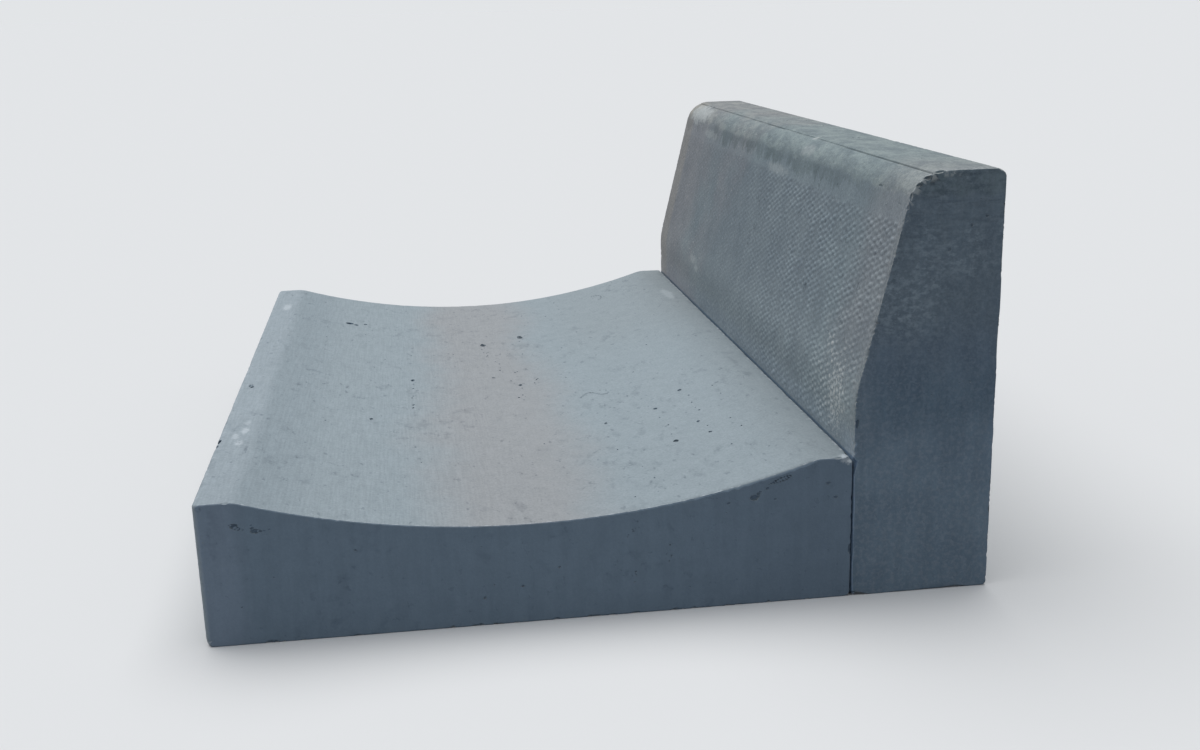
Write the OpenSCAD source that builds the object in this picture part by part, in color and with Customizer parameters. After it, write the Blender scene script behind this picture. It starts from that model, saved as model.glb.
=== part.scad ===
// Precast concrete kerb stone and the dished channel stone that is laid against it.
// X runs from the road to the footway, Y along the road and Z up.
// The origin is at the middle of the bed that both stones stand on.

/* [Run] */
// Length of both stones along the road
unit_length = 1000; // [300:10:1200]
// Open joint between the kerb stone and the channel stone
joint_gap = 0.8; // [0.2:0.1:6]

/* [Kerb stone] */
// Width of the kerb stone at its bed
kerb_w = 135; // [110:1:200]
// Height of the kerb stone
kerb_h = 400; // [300:5:500]
// Height at which the front face starts to lean back
batter_start_h = 196; // [100:1:250]
// Lean of the upper front face from the vertical, in degrees
batter_angle = 14.2; // [4:0.1:16]
// Radius that eases the upright face into the leaning one
batter_ease_r = 120; // [10:5:200]
// Radius of the nose between the leaning face and the top
nose_r = 34; // [10:1:40]
// Radius along the top back edge
back_edge_r = 9; // [3:1:15]
// Turn round the nose from the top down to the mould line, in degrees
mould_line_turn = 21; // [5:1:60]
// Width of the mould line
mould_line_w = 2.4; // [1:0.2:5]
// Depth of the mould line
mould_line_d = 1.4; // [0.5:0.1:3]
// Radius along the two bed edges of the kerb stone
kerb_bed_r = 4; // [2:1:12]

/* [Channel stone] */
// Width of the channel stone
channel_w = 600; // [400:5:800]
// Height of the lip on the road side
road_lip_h = 136; // [110:1:200]
// Height of the lip beside the kerb stone
kerb_lip_h = 139; // [110:1:200]
// Width of the flat lip on the road side
road_lip_w = 36; // [26:1:80]
// Width of the flat lip beside the kerb stone
kerb_lip_w = 36; // [26:1:80]
// Depth of the dish under a line drawn from lip to lip
dish_depth = 41; // [15:1:60]
// Radius that eases each lip into the dish
lip_ease_r = 40; // [5:1:60]
// Radius along the top edge on the road side
road_edge_r = 4; // [2:1:12]
// Radius along the top edge beside the kerb stone
seam_edge_r = 5; // [2:1:10]
// Radius along the two bed edges of the channel stone
channel_bed_r = 6; // [2:1:12]

/* [Hidden] */
concrete = [0.50, 0.53, 0.56];
dish_sides = 720;
round_sides = 180;

// Both stones are drawn in section with X from the road-side face and Y up from the bed.
total_w = channel_w + joint_gap + kerb_w;
kerb_front_x = channel_w + joint_gap;
kerb_back_x = kerb_front_x + kerb_w;
kerb_top_front_x = kerb_front_x + (kerb_h - batter_start_h) * tan(batter_angle);
nose_tangent = nose_r * tan((90 - batter_angle) / 2);
nose_centre = [kerb_top_front_x + nose_tangent, kerb_h - nose_r];

// The dish is a circle through the inner edges of the two lips.
road_lip_edge = [road_lip_w, road_lip_h];
kerb_lip_edge = [channel_w - kerb_lip_w, kerb_lip_h];
dish_span = norm(kerb_lip_edge - road_lip_edge);
dish_r = (dish_span * dish_span / 4 + dish_depth * dish_depth) / (2 * dish_depth);
dish_up = turned(unit(kerb_lip_edge - road_lip_edge));
dish_centre = (road_lip_edge + kerb_lip_edge) / 2 + dish_up * (dish_r - dish_depth);

function unit(v) = v / norm(v);
function turned(v) = [-v[1], v[0]];

// Centre of a round of radius r under a lip, touching the lip from below and the dish from outside.
// side is -1 for the lip on the left of the dish and 1 for the lip on its right.
function lip_ease_centre(lip_h, r, side) =
    let (
        drop = dish_centre[1] - (lip_h - r),
        reach = sqrt(pow(dish_r + r, 2) - drop * drop)
    )
    [dish_centre[0] + side * reach, lip_h - r];

// What is taken off to leave a round: the corner and its two touching points, less the round itself.
module corner_waste(corner, touch_a, touch_b, centre, r) {
    difference() {
        polygon([centre, touch_a, corner, touch_b]);
        translate(centre) circle(r = r, $fn = round_sides);
    }
}

// Waste at a corner between two straight edges, each given by a point along it.
module straight_corner_waste(corner, along_a, along_b, r) {
    dir_a = unit(along_a - corner);
    dir_b = unit(along_b - corner);
    half = acos(dir_a * dir_b) / 2;
    reach = r / tan(half);
    centre = corner + unit(dir_a + dir_b) * r / sin(half);
    corner_waste(corner, corner + dir_a * reach, corner + dir_b * reach, centre, r);
}

// Waste at the edge where a lip runs into the dish.
module lip_waste(lip_edge, r, side) {
    centre = lip_ease_centre(lip_edge[1], r, side);
    on_lip = [centre[0], lip_edge[1]];
    on_dish = centre + unit(dish_centre - centre) * r;
    corner_waste(lip_edge, on_lip, on_dish, centre, r);
}

module kerb_section() {
    bed_front = [kerb_front_x, 0];
    bed_back = [kerb_back_x, 0];
    top_back = [kerb_back_x, kerb_h];
    top_front = [kerb_top_front_x, kerb_h];
    batter_start = [kerb_front_x, batter_start_h];
    difference() {
        polygon([bed_front, bed_back, top_back, top_front, batter_start]);
        straight_corner_waste(bed_front, bed_back, batter_start, kerb_bed_r);
        straight_corner_waste(bed_back, bed_front, top_back, kerb_bed_r);
        straight_corner_waste(top_back, bed_back, top_front, back_edge_r);
        straight_corner_waste(top_front, top_back, batter_start, nose_r);
        straight_corner_waste(batter_start, top_front, bed_front, batter_ease_r);
        mould_line_waste();
    }
}

// Notch that the mould leaves along the nose, drawn past the skin so that it opens at its full width.
module mould_line_waste() {
    translate(nose_centre)
        rotate(mould_line_turn)
            polygon([
                [-mould_line_w, nose_r + mould_line_d],
                [0, nose_r - mould_line_d],
                [mould_line_w, nose_r + mould_line_d]
            ]);
}

module channel_section() {
    bed_road = [0, 0];
    bed_seam = [channel_w, 0];
    top_seam = [channel_w, kerb_lip_h];
    top_road = [0, road_lip_h];
    difference() {
        polygon([bed_road, bed_seam, top_seam, kerb_lip_edge, road_lip_edge, top_road]);
        translate(dish_centre) circle(r = dish_r, $fn = dish_sides);
        lip_waste(road_lip_edge, lip_ease_r, -1);
        lip_waste(kerb_lip_edge, lip_ease_r, 1);
        straight_corner_waste(bed_road, bed_seam, top_road, channel_bed_r);
        straight_corner_waste(bed_seam, bed_road, top_seam, channel_bed_r);
        straight_corner_waste(top_road, bed_road, road_lip_edge, road_edge_r);
        straight_corner_waste(top_seam, bed_seam, kerb_lip_edge, seam_edge_r);
    }
}

// A stone cast to one section all along its length, centred on the origin.
module cast_along_road() {
    translate([-total_w / 2, 0, 0])
        rotate([90, 0, 0])
            linear_extrude(height = unit_length, center = true)
                children();
}

module kerb_stone() {
    color(concrete) cast_along_road() kerb_section();
}

module channel_stone() {
    color(concrete) cast_along_road() channel_section();
}

kerb_stone();
channel_stone();
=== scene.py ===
"""Dresses a kerb stone and its dished channel stone as worn precast concrete.

Each stone is a casting of one section along a straight length. A section is a chain of lines and
arcs with a lattice of points inside it. The casting tree runs its outline along the road, closes
both ends, rounds and chips the arrises and raises the knurl on the kerb stone's road face. The
hollows tree then cuts the blowholes and the broken corners.
Sizes are in metres in the part's own frame: X from the road to the footway, Y along the road, Z up.
"""

from __future__ import annotations

import logging
import math
from collections.abc import Iterator, Mapping, Sequence
from dataclasses import dataclass, field
from enum import Enum
from itertools import combinations

import bmesh
import bpy
import numpy as np
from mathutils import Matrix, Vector
from mathutils.geometry import delaunay_2d_cdt

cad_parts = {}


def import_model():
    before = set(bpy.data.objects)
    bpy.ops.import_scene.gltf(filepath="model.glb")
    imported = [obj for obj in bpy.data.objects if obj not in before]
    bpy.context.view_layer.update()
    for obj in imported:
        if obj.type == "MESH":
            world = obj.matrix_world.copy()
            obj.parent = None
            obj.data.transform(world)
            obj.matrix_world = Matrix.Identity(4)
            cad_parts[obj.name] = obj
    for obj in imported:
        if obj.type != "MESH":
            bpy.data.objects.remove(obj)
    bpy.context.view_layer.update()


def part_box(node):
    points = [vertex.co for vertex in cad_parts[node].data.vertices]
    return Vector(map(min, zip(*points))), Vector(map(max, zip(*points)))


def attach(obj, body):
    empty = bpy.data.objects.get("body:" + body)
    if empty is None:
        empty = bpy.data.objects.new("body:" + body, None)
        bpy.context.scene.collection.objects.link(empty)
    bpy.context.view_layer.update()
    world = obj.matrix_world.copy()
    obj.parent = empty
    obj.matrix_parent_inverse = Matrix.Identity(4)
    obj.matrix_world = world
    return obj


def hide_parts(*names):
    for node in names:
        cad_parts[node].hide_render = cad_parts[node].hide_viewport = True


log = logging.getLogger("kerb")

MM = 0.001
BODY = "root"

Point = tuple[float, float]
Band = tuple[float, float]
Triple = tuple[float, float, float]
Socket = bpy.types.NodeSocket
Feed = Socket | float | int | bool | str | Sequence[float] | bpy.types.ID


class Mark(Enum):
    """Names of the values that a mesh carries from its section to its finish."""

    POINT = "section_point"
    OUTWARD = "outward"
    EDGE = "edge"
    RUN = "run"
    KNURL = "knurl"
    GROOVE = "groove"
    SEAM = "seam"
    CORNER = "corner"
    INNER = "inner"
    STATION = "station"
    ARRIS = "arris"
    RELIEF = "relief"
    REACH = "reach"
    # How much grime and painted shade darken a hollow.
    DIRT = "dirt"


class Graph:
    """Adds and links nodes in one tree."""

    def __init__(self, tree: bpy.types.NodeTree) -> None:
        """Keeps the tree that the nodes go into."""
        self.tree = tree

    def feed(self, socket: Socket, value: Feed) -> None:
        """Links a socket to another one, or sets its value.

        Args:
            socket: The input to fill.
            value: An output to link from, or a plain value.
        """
        if isinstance(value, Socket):
            self.tree.links.new(value, socket)
        else:
            socket.default_value = value

    def node(
        self, kind: str, values: Mapping[str | int, Feed] | None = None, **settings: object
    ) -> bpy.types.Node:
        """Adds one node.

        Args:
            kind: The node's type name.
            values: What to feed its inputs, by name or place.
            settings: The node's own properties.

        Returns:
            The new node.
        """
        node = self.tree.nodes.new(kind)
        for key, value in settings.items():
            setattr(node, key, value)
        for key, value in (values or {}).items():
            self.feed(node.inputs[key], value)
        return node

    def result(
        self, kind: str, values: Mapping[str | int, Feed] | None = None, **settings: object
    ) -> Socket:
        """Adds one node and returns its first output."""
        return self.node(kind, values, **settings).outputs[0]

    def math(self, operation: str, *values: Feed) -> Socket:
        """Adds a Math node and returns its result."""
        return self.result("ShaderNodeMath", dict(enumerate(values)), operation=operation)

    def product(self, first: Feed, *others: Feed) -> Socket:
        """Returns the product of several values."""
        for other in others:
            first = self.math("MULTIPLY", first, other)
        return first

    def vector(self, operation: str, *values: Feed) -> Socket:
        """Adds a Vector Math node and returns its result."""
        return self.result("ShaderNodeVectorMath", dict(enumerate(values)), operation=operation)

    def scaled(self, vector: Feed, scale: Feed) -> Socket:
        """Returns a vector times one number."""
        return self.result("ShaderNodeVectorMath", {0: vector, "Scale": scale}, operation="SCALE")

    def ramp(self, value: Feed, low: Feed, high: Feed, start: Feed = 0.0, end: Feed = 1.0) -> Socket:
        """Returns a value eased from one range to another and held at both ends."""
        values = {"Value": value, "From Min": low, "From Max": high, "To Min": start, "To Max": end}
        return self.result("ShaderNodeMapRange", values, interpolation_type="SMOOTHSTEP")

    def noise(self, vector: Feed, scale: Feed, detail: float = 3.0, roughness: float = 0.55) -> Socket:
        """Returns a soft random value from 0 to 1 over space."""
        values = {"Vector": vector, "Scale": scale, "Detail": detail, "Roughness": roughness}
        return self.node("ShaderNodeTexNoise", values).outputs["Fac"]

    def mix(self, share: Feed, first: Feed, second: Feed, blend: str = "MIX") -> Socket:
        """Blends two colours.

        Args:
            share: How much of the second colour there is.
            first: The colour underneath.
            second: The colour on top.
            blend: How the two combine.

        Returns:
            The blended colour.
        """
        node = self.node("ShaderNodeMix", data_type="RGBA", blend_type=blend, clamp_factor=True)
        under, over = (s for s in node.inputs if s.type == "RGBA")
        self.feed(node.inputs[0], share)
        self.feed(under, first)
        self.feed(over, second)
        return next(s for s in node.outputs if s.type == "RGBA")

    def tinted(self, share: Feed, colour: Feed, tint: Triple) -> Socket:
        """Returns a colour multiplied by a tint where the share says so."""
        return self.mix(share, colour, (*tint, 1.0), "MULTIPLY")

    def shaded(self, colour: Feed, shade: Feed) -> Socket:
        """Returns a colour times one number."""
        return self.mix(1.0, colour, self.joined(shade, shade, shade), "MULTIPLY")

    def split(self, vector: Feed) -> tuple[Socket, Socket, Socket]:
        """Returns the three parts of a vector."""
        node = self.node("ShaderNodeSeparateXYZ", {0: vector})
        return node.outputs[0], node.outputs[1], node.outputs[2]

    def joined(self, x: Feed, y: Feed, z: Feed) -> Socket:
        """Returns a vector made of three values."""
        return self.result("ShaderNodeCombineXYZ", {0: x, 1: y, 2: z})


class ShapeTree:
    """A Geometry Nodes tree with named inputs, built once and put on an object as a modifier."""

    name = "shape"
    inputs: tuple[tuple[str, str], ...] = ()

    def __init__(self) -> None:
        """Makes the tree, its sockets and its nodes."""
        self.tree = bpy.data.node_groups.new(self.name, "GeometryNodeTree")
        self.graph = Graph(self.tree)
        for name, kind in (("Geometry", "NodeSocketGeometry"), *self.inputs):
            self.tree.interface.new_socket(name, in_out="INPUT", socket_type=kind)
        self.tree.interface.new_socket("Geometry", in_out="OUTPUT", socket_type="NodeSocketGeometry")
        self.given = self.graph.node("NodeGroupInput").outputs
        self.graph.node("NodeGroupOutput", {0: self.lay_out()})

    def lay_out(self) -> Socket:
        """Adds the tree's nodes and returns the finished geometry."""
        raise NotImplementedError

    def attribute(self, mark: Mark, kind: str = "FLOAT") -> Socket:
        """Returns a value that the geometry carries."""
        node = self.graph.node("GeometryNodeInputNamedAttribute", {"Name": mark.value}, data_type=kind)
        return node.outputs["Attribute"]

    def store(self, geometry: Socket, mark: Mark, value: Feed, kind: str = "FLOAT") -> Socket:
        """Puts a value on each point of the geometry.

        Args:
            geometry: The geometry.
            mark: The value's name.
            value: The value.
            kind: Its type.

        Returns:
            The geometry with the value.
        """
        values = {"Geometry": geometry, "Name": mark.value, "Value": value}
        settings = {"data_type": kind, "domain": "POINT"}
        return self.graph.result("GeometryNodeStoreNamedAttribute", values, **settings)

    def put_on(self, piece: bpy.types.Object, values: Mapping[str, object]) -> None:
        """Adds the tree to an object.

        Args:
            piece: The object to shape.
            values: One value for each named input.
        """
        modifier = piece.modifiers.new(self.name, "NODES")
        modifier.node_group = self.tree
        for item in self.tree.interface.items_tree:
            if item.in_out == "INPUT" and item.name in values:
                modifier[item.identifier] = values[item.name]


class CastingTree(ShapeTree):
    """Runs a section along the road, closes and wears its ends and raises the knurl."""

    name = "casting"
    inputs = (
        ("Length", "NodeSocketFloat"),
        ("Stations", "NodeSocketInt"),
        ("End stations", "NodeSocketInt"),
        ("Arris radius", "NodeSocketFloat"),
        ("Chip depth", "NodeSocketFloat"),
        ("Chip size", "NodeSocketFloat"),
        ("Edge chip depth", "NodeSocketFloat"),
        ("Seam wear", "NodeSocketFloat"),
        ("Corner wear", "NodeSocketFloat"),
        ("Dent depth", "NodeSocketFloat"),
        ("Dent size", "NodeSocketFloat"),
        ("Groove fill", "NodeSocketFloat"),
        ("Knurl height", "NodeSocketFloat"),
        ("Knurl pitch along", "NodeSocketFloat"),
        ("Knurl pitch up", "NodeSocketFloat"),
        ("Knurl turn", "NodeSocketFloat"),
        ("Knurl slant", "NodeSocketFloat"),
        ("Knurl drift", "NodeSocketFloat"),
        ("Knurl fade", "NodeSocketFloat"),
        ("Knurl far share", "NodeSocketFloat"),
        ("Material", "NodeSocketMaterial"),
    )
    weld_distance = 0.001 * MM
    arris_reach = 3.5 * MM
    line_opens: Band = (-0.30, -0.25)
    line_fills: Band = (-0.27, -0.22)
    line_clears: Band = (-0.12, -0.03)
    knurl_thins: Band = (-0.25, 0.15)
    knurl_rises: Band = (0.19, 0.32)
    foot_height: Band = (0.15, 0.20)
    foot_length: Band = (-0.47, -0.40)

    def lay_out(self) -> Socket:
        """Adds the tree's nodes.

        Returns:
            The finished geometry.
        """
        g, given = self.graph, self.given
        position = g.result("GeometryNodeInputPosition")
        section = self.store(given["Geometry"], Mark.POINT, position, "FLOAT_VECTOR")
        stone = self.closed_skin(section)

        point_x, _, point_z = g.split(self.attribute(Mark.POINT, "FLOAT_VECTOR"))
        station = self.attribute(Mark.STATION)
        place = g.joined(point_x, station, point_z)
        stone = g.result("GeometryNodeSetPosition", {"Geometry": stone, "Position": place})
        values = {"Geometry": stone, "Distance": self.weld_distance}
        stone = g.result("GeometryNodeMergeByDistance", values)

        from_end = g.math("SUBTRACT", g.product(given["Length"], 0.5), g.math("ABSOLUTE", station))
        relief = self.knurl(from_end, station, position)
        stone = self.store(stone, Mark.ARRIS, self.arris(from_end))
        stone = self.store(stone, Mark.RELIEF, relief)
        at_ends = self.end_inset(from_end, point_x, point_z, station)
        worn = g.math("ADD", at_ends, self.edge_inset(position))
        raised = g.math("ADD", g.product(given["Knurl height"], relief), self.groove_fill(station))
        across = g.scaled(self.attribute(Mark.OUTWARD, "FLOAT_VECTOR"), g.math("SUBTRACT", raised, worn))
        offset = g.vector("ADD", across, g.joined(0.0, self.dent(station, position), 0.0))
        stone = g.result("GeometryNodeSetPosition", {"Geometry": stone, "Offset": offset})
        stone = self.store(stone, Mark.KNURL, self.knurled(position))
        open_line = g.math("SUBTRACT", 1.0, self.clogged(station))
        stone = self.store(stone, Mark.GROOVE, g.product(self.attribute(Mark.GROOVE), open_line))
        stone = g.result("GeometryNodeRealizeInstances", {"Geometry": stone})
        return g.result("GeometryNodeSetMaterial", {"Geometry": stone, "Material": given["Material"]})

    def closed_skin(self, section: Socket) -> Socket:
        """Sweeps the section's outline along the road and sets the section itself at both ends.

        Args:
            section: The filled section.

        Returns:
            The three meshes, whose points carry their station's Y.
        """
        g, given = self.graph, self.given
        faces = g.node("GeometryNodeInputMeshEdgeNeighbors").outputs["Face Count"]
        values = {"Mesh": section, "Selection": g.math("COMPARE", faces, 1.0, 0.1)}
        outline = g.result("GeometryNodeMeshToCurve", values)
        skin = g.result("GeometryNodeCurveToMesh", {"Curve": self.path(), "Profile Curve": outline})
        skin = g.result("GeometryNodeFlipFaces", {"Mesh": skin})
        half = g.product(given["Length"], 0.5)
        near = self.store(section, Mark.STATION, g.product(half, -1.0))
        far = g.result("GeometryNodeFlipFaces", {"Mesh": self.store(section, Mark.STATION, half)})
        stone = g.node("GeometryNodeJoinGeometry")
        for mesh in (skin, near, far):
            g.feed(stone.inputs[0], mesh)
        return stone.outputs[0]

    def path(self) -> Socket:
        """Lays stations along the road at an even step that closes up towards both ends.

        Returns:
            A straight curve whose points carry their station's Y.
        """
        g, given = self.graph, self.given
        line = g.result("GeometryNodeCurvePrimitiveLine", {"Start": (0, 0, 0), "End": (0, 1, 0)})
        line = g.result("GeometryNodeResampleCurve", {"Curve": line, "Count": given["Stations"]})
        last = g.math("SUBTRACT", given["Stations"], 1)
        index = g.result("GeometryNodeInputIndex")
        close = given["End stations"]
        step = g.math("DIVIDE", given["Length"], g.math("SUBTRACT", last, close))
        rank = g.math("MINIMUM", index, g.math("SUBTRACT", last, index))
        short = g.math("MAXIMUM", g.math("SUBTRACT", close, rank), 0.0)
        eased = g.math("DIVIDE", g.product(short, short), g.product(close, 2.0))
        count = g.math("ADD", g.math("SUBTRACT", rank, g.product(close, 0.5)), eased)
        reach = g.math("SUBTRACT", g.product(given["Length"], 0.5), g.product(count, step))
        side = g.math("SIGN", g.math("SUBTRACT", index, g.product(last, 0.5)))
        return self.store(line, Mark.STATION, g.product(side, reach))

    def end_inset(self, from_end: Socket, point_x: Socket, point_z: Socket, station: Socket) -> Socket:
        """Rounds the arris of each end, more where it is chipped, beside the joint and at a corner.

        Args:
            from_end: Distance from the nearer end.
            point_x: X of the section's point.
            point_z: Z of the section's point.
            station: Y of the station.

        Returns:
            How far the skin draws in.
        """
        g, given = self.graph, self.given
        along_rim = g.joined(point_x, g.math("SIGN", station), point_z)
        scale = g.math("DIVIDE", 1.0, given["Chip size"])
        broad = g.ramp(g.noise(along_rim, g.product(scale, 0.16), 2.0), 0.45, 0.7, 0.25, 1.0)
        sharp = g.ramp(g.noise(along_rim, scale, 3.0, 0.75), 0.42, 0.68)
        radius = g.math("ADD", given["Arris radius"], g.product(given["Chip depth"], sharp, broad))
        uneven = g.ramp(sharp, 0.0, 1.0, 0.4, 1.0)
        seam = g.product(given["Seam wear"], self.attribute(Mark.SEAM), uneven)
        corner = g.product(given["Corner wear"], self.attribute(Mark.CORNER))
        radius = g.math("ADD", radius, g.math("ADD", seam, corner))
        short = g.math("MAXIMUM", g.math("SUBTRACT", radius, from_end), 0.0)
        square = g.math("SUBTRACT", g.product(radius, radius), g.product(short, short))
        return g.math("SUBTRACT", radius, g.math("SQRT", g.math("MAXIMUM", square, 0.0)))

    def edge_inset(self, position: Socket) -> Socket:
        """Chips the edges that run along the road.

        Args:
            position: The skin's point.

        Returns:
            How far the skin draws in.
        """
        g, given = self.graph, self.given
        scale = g.math("DIVIDE", 1.0, given["Chip size"])
        broad = g.ramp(g.noise(position, g.product(scale, 0.12), 2.0), 0.45, 0.75, 0.15, 1.0)
        sharp = g.ramp(g.noise(position, g.product(scale, 0.7), 3.0, 0.7), 0.38, 0.75)
        return g.product(given["Edge chip depth"], self.attribute(Mark.EDGE), sharp, broad)

    def clogged(self, station: Socket) -> Socket:
        """Clogs the mould line: open near the near end, then full, then by chance.

        Args:
            station: Y of the station.

        Returns:
            How full the line is, from 0 to 1.
        """
        g = self.graph
        by_chance = g.ramp(g.noise(g.joined(0.0, station, 0.0), 9.0, 4.0, 0.7), 0.4, 0.66)
        full = g.product(g.ramp(station, *self.line_fills), g.ramp(station, *self.line_clears, 0.97, 0.0))
        return g.product(g.math("MAXIMUM", by_chance, full), g.ramp(station, *self.line_opens))

    def groove_fill(self, station: Socket) -> Socket:
        """Returns how far the bottom of the mould line comes up where it is clogged."""
        groove = self.attribute(Mark.GROOVE)
        return self.graph.product(self.given["Groove fill"], groove, self.clogged(station))

    def dent(self, station: Socket, position: Socket) -> Socket:
        """Makes both ends a little uneven, always inwards.

        Args:
            station: Y of the station.
            position: The skin's point.

        Returns:
            The shift along Y.
        """
        g, given = self.graph, self.given
        scale = g.math("DIVIDE", 1.0, given["Dent size"])
        broad = g.noise(position, g.product(scale, 0.2), 2.0)
        fine = g.noise(position, scale, 3.0, 0.6)
        depth = g.product(given["Dent depth"], g.math("ADD", broad, fine), 0.5)
        return g.product(g.math("SIGN", station), -1.0, depth, self.attribute(Mark.INNER))

    def knurl(self, from_end: Socket, station: Socket, position: Socket) -> Socket:
        """Raises a diamond lattice of beads on the marked face, worn in places and at the near foot.

        Args:
            from_end: Distance from the nearer end.
            station: Y of the station.
            position: The skin's point.

        Returns:
            How far the skin stands out, from 0 between the beads to 1 on a whole one.
        """
        g, given = self.graph, self.given
        drift = g.node("ShaderNodeTexNoise", {"Vector": position, "Scale": 45.0, "Detail": 2.0})
        drift = g.vector("SUBTRACT", drift.outputs["Color"], (0.5, 0.5, 0.5))
        drift_along, drift_up, _ = g.split(g.scaled(drift, given["Knurl drift"]))
        level = g.math("ADD", station, drift_along)
        rise = g.math("ADD", self.attribute(Mark.RUN), g.product(drift_up, 0.6))
        cosine, sine = (g.math(part, given["Knurl turn"]) for part in ("COSINE", "SINE"))
        along = g.math("ADD", g.product(level, cosine), g.product(rise, sine))
        along = g.product(g.math("DIVIDE", along, given["Knurl pitch along"]), math.tau)
        up = g.math("SUBTRACT", g.product(rise, cosine), g.product(level, sine))
        up = g.product(g.math("DIVIDE", up, given["Knurl pitch up"]), math.tau)
        slant = given["Knurl slant"]
        rising = g.product(slant, g.math("COSINE", g.math("SUBTRACT", along, up)))
        falling = g.product(g.math("SUBTRACT", 1.0, slant), g.math("COSINE", g.math("ADD", along, up)))
        bead = g.ramp(g.math("ADD", rising, falling), -0.55, 0.6)
        worn = g.ramp(g.noise(position, 105.0, 3.0), 0.36, 0.62, 0.2, 1.0)
        patchy = g.ramp(g.noise(position, 16.0, 2.0), 0.36, 0.58, 0.6, 1.0)
        from_rim = g.product(from_end, self.ragged(position))
        fade = g.ramp(from_rim, g.product(given["Knurl fade"], 0.2), given["Knurl fade"])
        far = g.ramp(station, *self.knurl_thins, 1.0, given["Knurl far share"])
        _, along_road, height = g.split(position)
        low = g.ramp(height, *self.knurl_rises, 0.72, 1.0)
        kept = g.math("ADD", g.ramp(height, *self.foot_height), g.ramp(along_road, *self.foot_length))
        foot = g.ramp(kept, 0.0, 1.0, 0.15, 1.0)
        return g.product(bead, worn, patchy, fade, far, low, foot, self.knurled(position))

    def ragged(self, position: Socket) -> Socket:
        """Returns a share that makes the borders of the knurl uneven."""
        return self.graph.ramp(self.graph.noise(position, 28.0, 3.0), 0.35, 0.65, 0.4, 1.0)

    def knurled(self, position: Socket) -> Socket:
        """Returns 1 on the knurled face, falling to 0 past its uneven borders."""
        g = self.graph
        return g.ramp(g.product(self.attribute(Mark.KNURL), self.ragged(position)), 0.0, 1.0)

    def arris(self, from_end: Socket) -> Socket:
        """Marks every worn edge.

        Args:
            from_end: Distance from the nearer end.

        Returns:
            1 on an edge, falling to 0 a few millimetres away.
        """
        g = self.graph
        rim = g.math("SUBTRACT", 1.0, self.attribute(Mark.INNER))
        at_end = g.product(rim, g.ramp(from_end, 0.0, self.arris_reach, 1.0, 0.0))
        return g.math("MAXIMUM", at_end, g.product(self.attribute(Mark.EDGE), 0.8))


class HollowsTree(ShapeTree):
    """Cuts blowholes and broken corners out of a stone."""

    name = "hollows"
    inputs = (
        ("Hollows", "NodeSocketObject"),
        ("Roughness", "NodeSocketFloat"),
        ("Material", "NodeSocketMaterial"),
    )
    lump_scale = 300.0

    def lay_out(self) -> Socket:
        """Adds the tree's nodes.

        Returns:
            The finished geometry.
        """
        g, given = self.graph, self.given
        places = g.node("GeometryNodeObjectInfo", {"Object": given["Hollows"]}).outputs["Geometry"]
        ball = g.result("GeometryNodeMeshIcoSphere", {"Radius": 1.0, "Subdivisions": 2})
        reach = self.attribute(Mark.REACH, "FLOAT_VECTOR")
        values = {"Points": places, "Instance": ball, "Scale": reach}
        balls = g.result("GeometryNodeInstanceOnPoints", values)
        balls = g.result("GeometryNodeRealizeInstances", {"Geometry": balls})
        position = g.result("GeometryNodeInputPosition")
        values = {"Vector": position, "Scale": self.lump_scale, "Detail": 1.0}
        lumps = g.node("ShaderNodeTexNoise", values)
        lumps = g.vector("SUBTRACT", lumps.outputs["Color"], (0.5, 0.5, 0.5))
        offset = g.scaled(g.vector("MULTIPLY", lumps, reach), given["Roughness"])
        balls = g.result("GeometryNodeSetPosition", {"Geometry": balls, "Offset": offset})
        values = {"Mesh 1": given["Geometry"], "Mesh 2": balls}
        cut = g.result("GeometryNodeMeshBoolean", values, solver="MANIFOLD", operation="DIFFERENCE")
        cut = g.result("GeometryNodeRealizeInstances", {"Geometry": cut})
        return g.result("GeometryNodeSetMaterial", {"Geometry": cut, "Material": given["Material"]})


@dataclass(frozen=True)
class Arc:
    """A stretch of a section that follows a circle."""

    centre: Point
    radius: float
    start: float
    end: float
    step: float

    def at(self, angle: float) -> Point:
        """Returns the point at an angle."""
        x, z = self.centre
        return (x + self.radius * math.cos(angle), z + self.radius * math.sin(angle))

    def points(self) -> list[Point]:
        """Returns points along the arc, both ends included."""
        count = max(3, math.ceil(self.radius * abs(self.end - self.start) / self.step))
        return [self.at(self.start + (self.end - self.start) * i / count) for i in range(count + 1)]


@dataclass(frozen=True)
class Straight:
    """A stretch of a section that runs straight from one point to the next."""

    start: Point
    end: Point
    step: float

    def points(self) -> list[Point]:
        """Walks along the line.

        Returns:
            Its points, both ends included.
        """
        count = max(1, math.ceil(math.dist(self.start, self.end) / self.step))
        start, way = Vector(self.start), Vector(self.end) - Vector(self.start)
        return [tuple(start + way * i / count) for i in range(count + 1)]


def rounded(before: Point, corner: Point, after: Point, radius: float, step: float) -> Arc:
    """Rounds a corner that turns left.

    Args:
        before: A point on the edge that leads to the corner.
        corner: The sharp corner.
        after: A point on the edge that leaves it.
        radius: Radius of the round.
        step: Greatest distance between points.

    Returns:
        The arc that touches both edges.
    """
    tip = Vector(corner)
    to_before = (Vector(before) - tip).normalized()
    to_after = (Vector(after) - tip).normalized()
    half = to_before.angle(to_after) / 2
    centre = tip + (to_before + to_after).normalized() * radius / math.sin(half)
    first = tip + to_before * radius / math.tan(half) - centre
    start = math.atan2(first.y, first.x)
    return Arc((centre.x, centre.y), radius, start, start + math.pi - 2 * half, step)


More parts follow.
